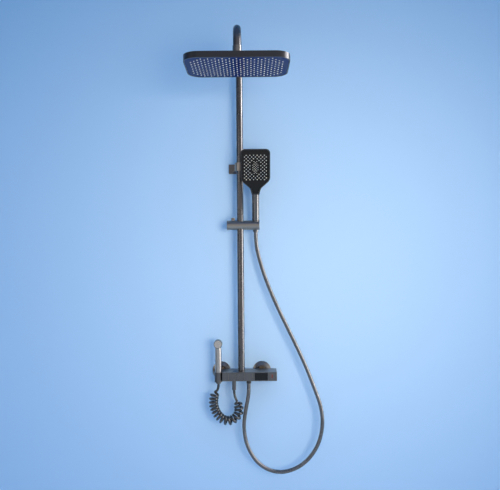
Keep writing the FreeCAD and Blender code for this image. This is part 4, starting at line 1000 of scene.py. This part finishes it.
@dataclass
class CurlyHose(Assembly):
    """Curly hose from the bidet sprayer to its connector: one tube wound round a hanging axis.

    Attributes:
        radius: The tube's radius.
        curl: Radius of the turns at the tube's middle.
        gap: Room between turns.
        ramp: Length over which the turns open and close.
        lead: Straight length below the sprayer.
        tail: Straight length below the connector.
        held: Depth below the sprayer down to which the hose would move wholly with it; not used.
        still: Depth below which it would hang still; not used.
        sides: Faces round the tube.
        axis_step: Spacing of the points of the axis.
        tube_step: Spacing of the points of the tube.
        controls: Control points of the axis, from the sprayer to the connector.
    """

    radius: float = 4.6
    curl: float = 12.9
    gap: float = 0.5
    ramp: float = 22.0
    lead: float = 26.0
    tail: float = 36.0
    held: float = 3.7
    still: float = 29.0
    sides: int = 16
    axis_step: float = 0.25
    tube_step: float = 1.0
    controls: tuple[Point, ...] = (
        (-82.6, -81.0, -30.0), (-82.6, -81.0, -48.0), (-92.0, -80.0, -62.0), (-101.0, -79.0, -84.0),
        (-101.0, -78.0, -112.0), (-88.0, -77.0, -144.0), (-64.0, -76.0, -165.0), (-36.0, -74.0, -166.0),
        (-14.0, -72.0, -148.0), (-9.0, -70.0, -122.0), (-18.0, -69.0, -98.0), (-27.0, -68.0, -73.0),
        (-27.0, -68.0, -57.0),
    )

    def build(self) -> None:
        """Wind the hose and hang it."""
        line = self.wound(Line.through(self.controls, self.axis_step))
        hose = self.shop.piece("curly_bidet_hose", line.tube(self.radius, self.sides), CURLY_SKIN)
        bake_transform(hose)
        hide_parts("curly_hose")

    def wound(self, axis: Line) -> Line:
        """Return the line of the tube wound round an axis.

        Args:
            axis: The line that the turns go round.

        Returns:
            The wound line, evenly spaced.
        """
        step = axis.step / MM
        total = axis.length / MM
        last = len(axis.points) - 1
        reach = round(2 * self.radius / step)
        angle = 0.0
        points = []
        for number, place in enumerate(axis.frames):
            along = number * step
            share = smooth((along - self.lead) / self.ramp) * smooth((total - self.tail - along) / self.ramp)
            before, after = axis.frames[max(0, number - reach)], axis.frames[min(last, number + reach)]
            bend = before.col[2].to_3d().angle(after.col[2].to_3d()) / (2 * reach * step)
            heading = place.col[2].to_3d()
            across = Vector((0, 1, 0)).cross(heading).normalized()
            other = heading.cross(across)
            out = across * math.cos(angle) + other * math.sin(angle)
            points.append(place.translation + out * (self.curl * share * MM))
            pitch = (2 * self.radius + self.gap) / (1 - self.curl * bend)
            angle += 2 * math.pi / pitch * share * step
        return Line(points).evenly(self.tube_step * MM)


@dataclass
class WallSupply(Assembly):
    """Unions, flanges and nuts that carry the valve on the wall."""

    def build(self) -> None:
        """Dress the supply."""
        self.shop.dress(TURNED_GUNMETAL, "wall_flange_left", "wall_flange_right")
        self.shop.dress(WARM_NUT_PAINTED_GLINT, "inlet_nut_left", "inlet_nut_right")
        self.shop.dress(MACHINED_BRASS, "supply_union_left", "supply_union_right")
        self.shop.dress(MOULDED_RUBBER, "inlet_washers")


@dataclass
class Valve(Assembly):
    """Valve body with its keys, display and temperature knob.

    Attributes:
        mark: Place of the heat mark's middle on the knob's front.
        mark_radius: Half the width of the mark.
        mark_reach: Height of the middles of its round ends above and below that place.
        mark_height: How far the mark stands proud.
        mark_edge: Rounding of its edges.
        mark_sides: Faces round its ends.
    """

    mark: Point = (110.0, -95.0, -3.0)
    mark_radius: float = 2.2
    mark_reach: float = 4.0
    mark_height: float = 0.4
    mark_edge: float = 0.25
    mark_sides: int = 32

    def build(self) -> None:
        """Dress the valve and add the heat mark."""
        self.shop.dress(CAST_GUNMETAL, "valve_casing", "temperature_knob")
        self.shop.dress(CAST_GUNMETAL, "rain_key", "hand_key", "bidet_key")
        self.shop.dress(MACHINED_BRASS, "valve_core", "thermostatic_cartridge", "cartridge_spindle")
        self.shop.dress(INNER_MOULDING, "end_plate", "display_board")
        self.shop.dress(DISPLAY_GLASS, "display_lens")
        self.add_heat_mark()

    def add_heat_mark(self) -> None:
        """Set the red heat mark into the knob's front."""
        shape = bmesh.new()
        radius, depth = self.mark_radius * MM, 2 * self.mark_height * MM
        bmesh.ops.create_cone(
            shape, cap_ends=True, segments=self.mark_sides, radius1=radius, radius2=radius, depth=depth
        )
        draw_out(shape, self.mark_reach)
        front = Matrix.Translation(Vector(self.mark) * MM) @ QUARTER_TURN
        bmesh.ops.transform(shape, matrix=front, verts=shape.verts[:])
        soften(shape, self.mark_edge)
        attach(self.shop.piece("heat_mark", shape, HEAT_RED), "temperature_control")


@dataclass
class Riser(Assembly):
    """Riser pipe, arm, swivel and the upper wall bracket."""

    def build(self) -> None:
        """Dress the riser, its arm and its bracket."""
        self.shop.dress(DRAWN_GUNMETAL, "riser_pipe", "shower_arm")
        self.shop.dress(TURNED_GUNMETAL, "swivel_nut", "swivel_ball", "ball_ring")
        self.shop.dress(INNER_MOULDING, "arm_bush")
        self.shop.dress(CAST_GUNMETAL, "bracket_plate", "bracket_arm", "bracket_set_screw", "bracket_screws")
        # The clamp takes the holder's lighter, warmer base: painted highlight.
        self.shop.dress(BRUSHED_HOLDER_PAINTED_HIGHLIGHT, "bracket_clamp")


@dataclass
class RainHead(Assembly):
    """Rectangular rain head with its nozzles.

    Attributes:
        centre: Middle of the face, at its surface.
        half: Half the sides of the field of nozzles.
        corner: Corner radius of the field.
        pitch: Distance from column to column, and from nozzle to nozzle in a column.
        nozzle: One nozzle.
    """

    centre: Point = (0.0, -440.0, 996.6)
    half: Pair = (139.0, 90.0)
    corner: float = 36.0
    pitch: Pair = (10.3, 21.5)
    nozzle: Nozzle = Nozzle(root=2.2, tip=1.6, height=1.9)

    def build(self) -> None:
        """Dress the head and set its nozzles."""
        self.shop.dress(COATED_SHELL, "rain_head_shell")
        self.shop.dress(GLOSS_FACE_PAINTED_REFLECTION, "rain_head_face")
        self.shop.dress(NOZZLE_SILICONE_PAINTED_SHADE, "nozzle_mat")
        shape = bmesh.new()
        for across, along in lattice(self.half, self.corner, self.pitch):
            at = Vector(self.centre) + Vector((across, along, 0))
            self.nozzle.add(shape, Matrix.Translation(at * MM) @ HALF_TURN)
        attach(self.shop.piece("rain_nozzles", shape, NOZZLE_SILICONE_PAINTED_SHADE), "rain_head")


@dataclass
class Holder(Assembly):
    """Sliding holder with its release button and cradle."""

    def build(self) -> None:
        """Dress the holder."""
        self.shop.dress(BRUSHED_HOLDER_PAINTED_HIGHLIGHT, "slider_body", "slider_end_cap", "cradle")
        self.shop.dress(TURNED_GUNMETAL, "release_button")
        self.shop.dress(INNER_MOULDING, "clamp_shoe")
        self.shop.dress(BRIGHT_STEEL, "pivot_bolt")


@dataclass
class Handset(Assembly):
    """Hand shower: nut, handle, shell, face and nozzles.

    Attributes:
        socket: Middle of the cradle's socket.
        lean: How far the hand shower leans forward, in degrees.
        face: Depth of the face in front of the handle's axis.
        middle: Height of the field's middle above the socket.
        half: Half the sides of the field of nozzles.
        corner: Corner radius of the field.
        pitch: Distance from column to column of the field, and from nozzle to nozzle in a column.
        nozzle: One nozzle of the field.
        clearance: Room from the insert to the middles of the field's nozzles.
        insert: Half the sides of the oval insert.
        insert_face: Depth of the insert's face.
        fine_margin: Room from the insert's edge to the middles of its own nozzles.
        fine_pitch: Their spacing, as in the field.
        fine_nozzle: One nozzle of the insert.
        ring_width: Width of the raised ring along the insert's edge.
        ring_height: Height of the ring.
        ring_sunk: How deep the ring stands in the insert's face.
        ring_edge: Rounding of its edges.
        ring_sides: Faces round it.
    """

    socket: Point = (55.5, -68.0, 537.0)
    lean: float = 12.0
    face: float = 13.2
    middle: float = 208.0
    half: Pair = (42.5, 48.5)
    corner: float = 9.0
    pitch: Pair = (6.4, 12.2)
    nozzle: Nozzle = Nozzle(root=1.8, tip=1.4, height=1.5)
    clearance: float = 2.0
    insert: Pair = (13.0, 25.5)
    insert_face: float = 14.0
    fine_margin: float = 3.4
    fine_pitch: Pair = (4.6, 8.2)
    fine_nozzle: Nozzle = Nozzle(root=1.3, tip=1.0, height=1.0)
    ring_width: float = 1.7
    ring_height: float = 0.7
    ring_sunk: float = 0.1
    ring_edge: float = 0.3
    ring_sides: int = 48

    @property
    def frame(self) -> Matrix:
        """Frame of the hand shower, with local Z along its handle."""
        lean = Matrix.Rotation(math.radians(self.lean), 4, "X")
        return Matrix.Translation(Vector(self.socket) * MM) @ lean

    def build(self) -> None:
        """Dress the hand shower and set its nozzles."""
        self.shop.dress(COATED_HANDLE, "handset_nut", "handset_handle")
        self.shop.dress(COATED_SHELL, "handset_shell")
        self.shop.dress(BLACK_FACE, "handset_face", "center_insert")
        self.shop.dress(INNER_MOULDING, "spray_plate")
        self.add_nozzles()
        self.add_insert_ring()

    def on_face(self, across: float, up: float, depth: float) -> Matrix:
        """Return a place on the face, with local Z pointing out of it."""
        at = Vector((across, -depth, self.middle + up)) * MM
        return self.frame @ Matrix.Translation(at) @ QUARTER_TURN

    def add_nozzles(self) -> None:
        """Set the wide field of nozzles round the insert and the fine field on it."""
        wide = bmesh.new()
        clear = (self.insert[0] + self.clearance, self.insert[1] + self.clearance)
        for across, up in lattice(self.half, self.corner, self.pitch):
            if not in_round_box(across, up, clear, clear[0]):
                self.nozzle.add(wide, self.on_face(across, up, self.face))
        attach(self.shop.piece("handset_nozzles", wide, NOZZLE_WHITE), "handset")
        fine = bmesh.new()
        inner = (self.insert[0] - self.fine_margin, self.insert[1] - self.fine_margin)
        for across, up in lattice(inner, inner[0], self.fine_pitch):
            self.fine_nozzle.add(fine, self.on_face(across, up, self.insert_face))
        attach(self.shop.piece("insert_nozzles", fine, NOZZLE_WHITE), "handset")

    def add_insert_ring(self) -> None:
        """Lay the raised oval ring round the insert."""
        shape = bmesh.new()
        bmesh.ops.create_circle(shape, cap_ends=True, segments=self.ring_sides, radius=self.insert[0] * MM)
        draw_out(shape, self.insert[1] - self.insert[0])
        width = self.ring_width * MM
        inset = bmesh.ops.inset_region(
            shape, faces=shape.faces[:], use_boundary=True, use_even_offset=True, thickness=width
        )
        kept = set(inset["faces"])
        bmesh.ops.delete(shape, geom=[face for face in shape.faces if face not in kept], context="FACES_ONLY")
        raised = bmesh.ops.extrude_face_region(shape, geom=shape.faces[:])["geom"]
        lifted = [item for item in raised if isinstance(item, bmesh.types.BMVert)]
        bmesh.ops.translate(shape, verts=lifted, vec=(0, 0, self.ring_height * MM))
        soften(shape, self.ring_edge)
        place = self.on_face(0, 0, self.insert_face - self.ring_sunk)
        bmesh.ops.transform(shape, matrix=place, verts=shape.verts[:])
        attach(self.shop.piece("insert_ring", shape, BLACK_FACE), "handset")


@dataclass
class BidetSprayer(Assembly):
    """Bidet sprayer in its cup.

    Attributes:
        face: Middle of the spray face.
        rings: Radius and number of outlets of each ring.
        outlet: One outlet.
    """

    face: Point = (-82.6, -98.5, 112.0)
    rings: tuple[tuple[float, int], ...] = ((0.0, 1), (3.0, 6), (6.0, 12), (9.0, 18))
    outlet: Nozzle = Nozzle(root=0.7, tip=0.5, height=0.7, sunk=0.1)

    def build(self) -> None:
        """Dress the sprayer and set its outlets."""
        self.shop.dress(CAST_GUNMETAL, "sprayer_cup", "sprayer_nut", "bidet_connector")
        self.shop.dress(COATED_SHELL, "hose_nut")
        self.shop.dress(LIGHT_SATIN_METAL, "sprayer_handle")
        self.shop.dress(TURNED_GUNMETAL, "sprayer_head", "sprayer_trigger")
        self.shop.dress(PALE_PLATE, "sprayer_face")
        self.shop.dress(BRIGHT_STEEL, "trigger_pin")
        shape = bmesh.new()
        for radius, count in self.rings:
            for number in range(count):
                angle = 2 * math.pi * number / count
                at = Vector(self.face) + Vector((math.cos(angle), 0, math.sin(angle))) * radius
                self.outlet.add(shape, Matrix.Translation(at * MM) @ QUARTER_TURN)
        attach(self.shop.piece("sprayer_outlets", shape, BRIGHT_STEEL), "bidet_sprayer")


@dataclass
class ReturnSpring(Assembly):
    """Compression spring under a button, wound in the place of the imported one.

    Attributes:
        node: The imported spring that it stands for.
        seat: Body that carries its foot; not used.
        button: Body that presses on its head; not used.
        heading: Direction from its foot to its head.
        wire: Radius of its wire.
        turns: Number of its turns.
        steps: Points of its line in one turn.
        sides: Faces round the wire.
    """

    node: str
    seat: str
    button: str
    heading: Point
    wire: float = 0.5
    turns: int = 4
    steps: int = 24
    sides: int = 8

    def build(self) -> None:
        """Wind the spring between its seat and its button."""
        low, high = (Vector(corner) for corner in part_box(self.node))
        heading = Vector(self.heading)
        across = Vector((1, 0, 0))
        other = heading.cross(across)
        wire = self.wire * MM
        reach = abs((high - low).dot(heading)) - 2 * wire
        radius = (high - low).dot(across) / 2 - wire
        foot = (low + high) / 2 - heading * (reach / 2)
        steps = self.steps * self.turns
        points = []
        for step in range(steps + 1):
            angle = 2 * math.pi * self.turns * step / steps
            out = across * math.cos(angle) + other * math.sin(angle)
            points.append(foot + heading * (reach * step / steps) + out * radius)
        line = Line(points).evenly(wire)
        made = self.shop.piece(f"{self.node}_wire", line.tube(self.wire, self.sides), BRIGHT_STEEL)
        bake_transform(made)
        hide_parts(self.node)


def main() -> None:
    """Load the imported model, dress it, add what it lacks and light it."""
    logging.basicConfig(level=logging.INFO, format="%(name)s: %(message)s")
    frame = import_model()
    bpy.context.scene.view_settings.view_transform = "Standard"
    shop = Shop(frame["nodes"])
    Studio().build()
    kinds = (ShowerHose, CurlyHose, WallSupply, Valve, Riser, RainHead, Holder, Handset, BidetSprayer)
    assemblies = [kind(shop) for kind in kinds]
    for key in ("rain_key", "hand_key", "bidet_key"):
        assemblies.append(ReturnSpring(shop, f"{key}_spring", "column", key, heading=(0, -1, 0)))
    assemblies.append(ReturnSpring(shop, "button_spring", "slider", "release_button", heading=(0, 0, 1)))
    for assembly in assemblies:
        assembly.build()
        log.info("built %s", type(assembly).__name__)


if __name__ == "__main__":
    main()
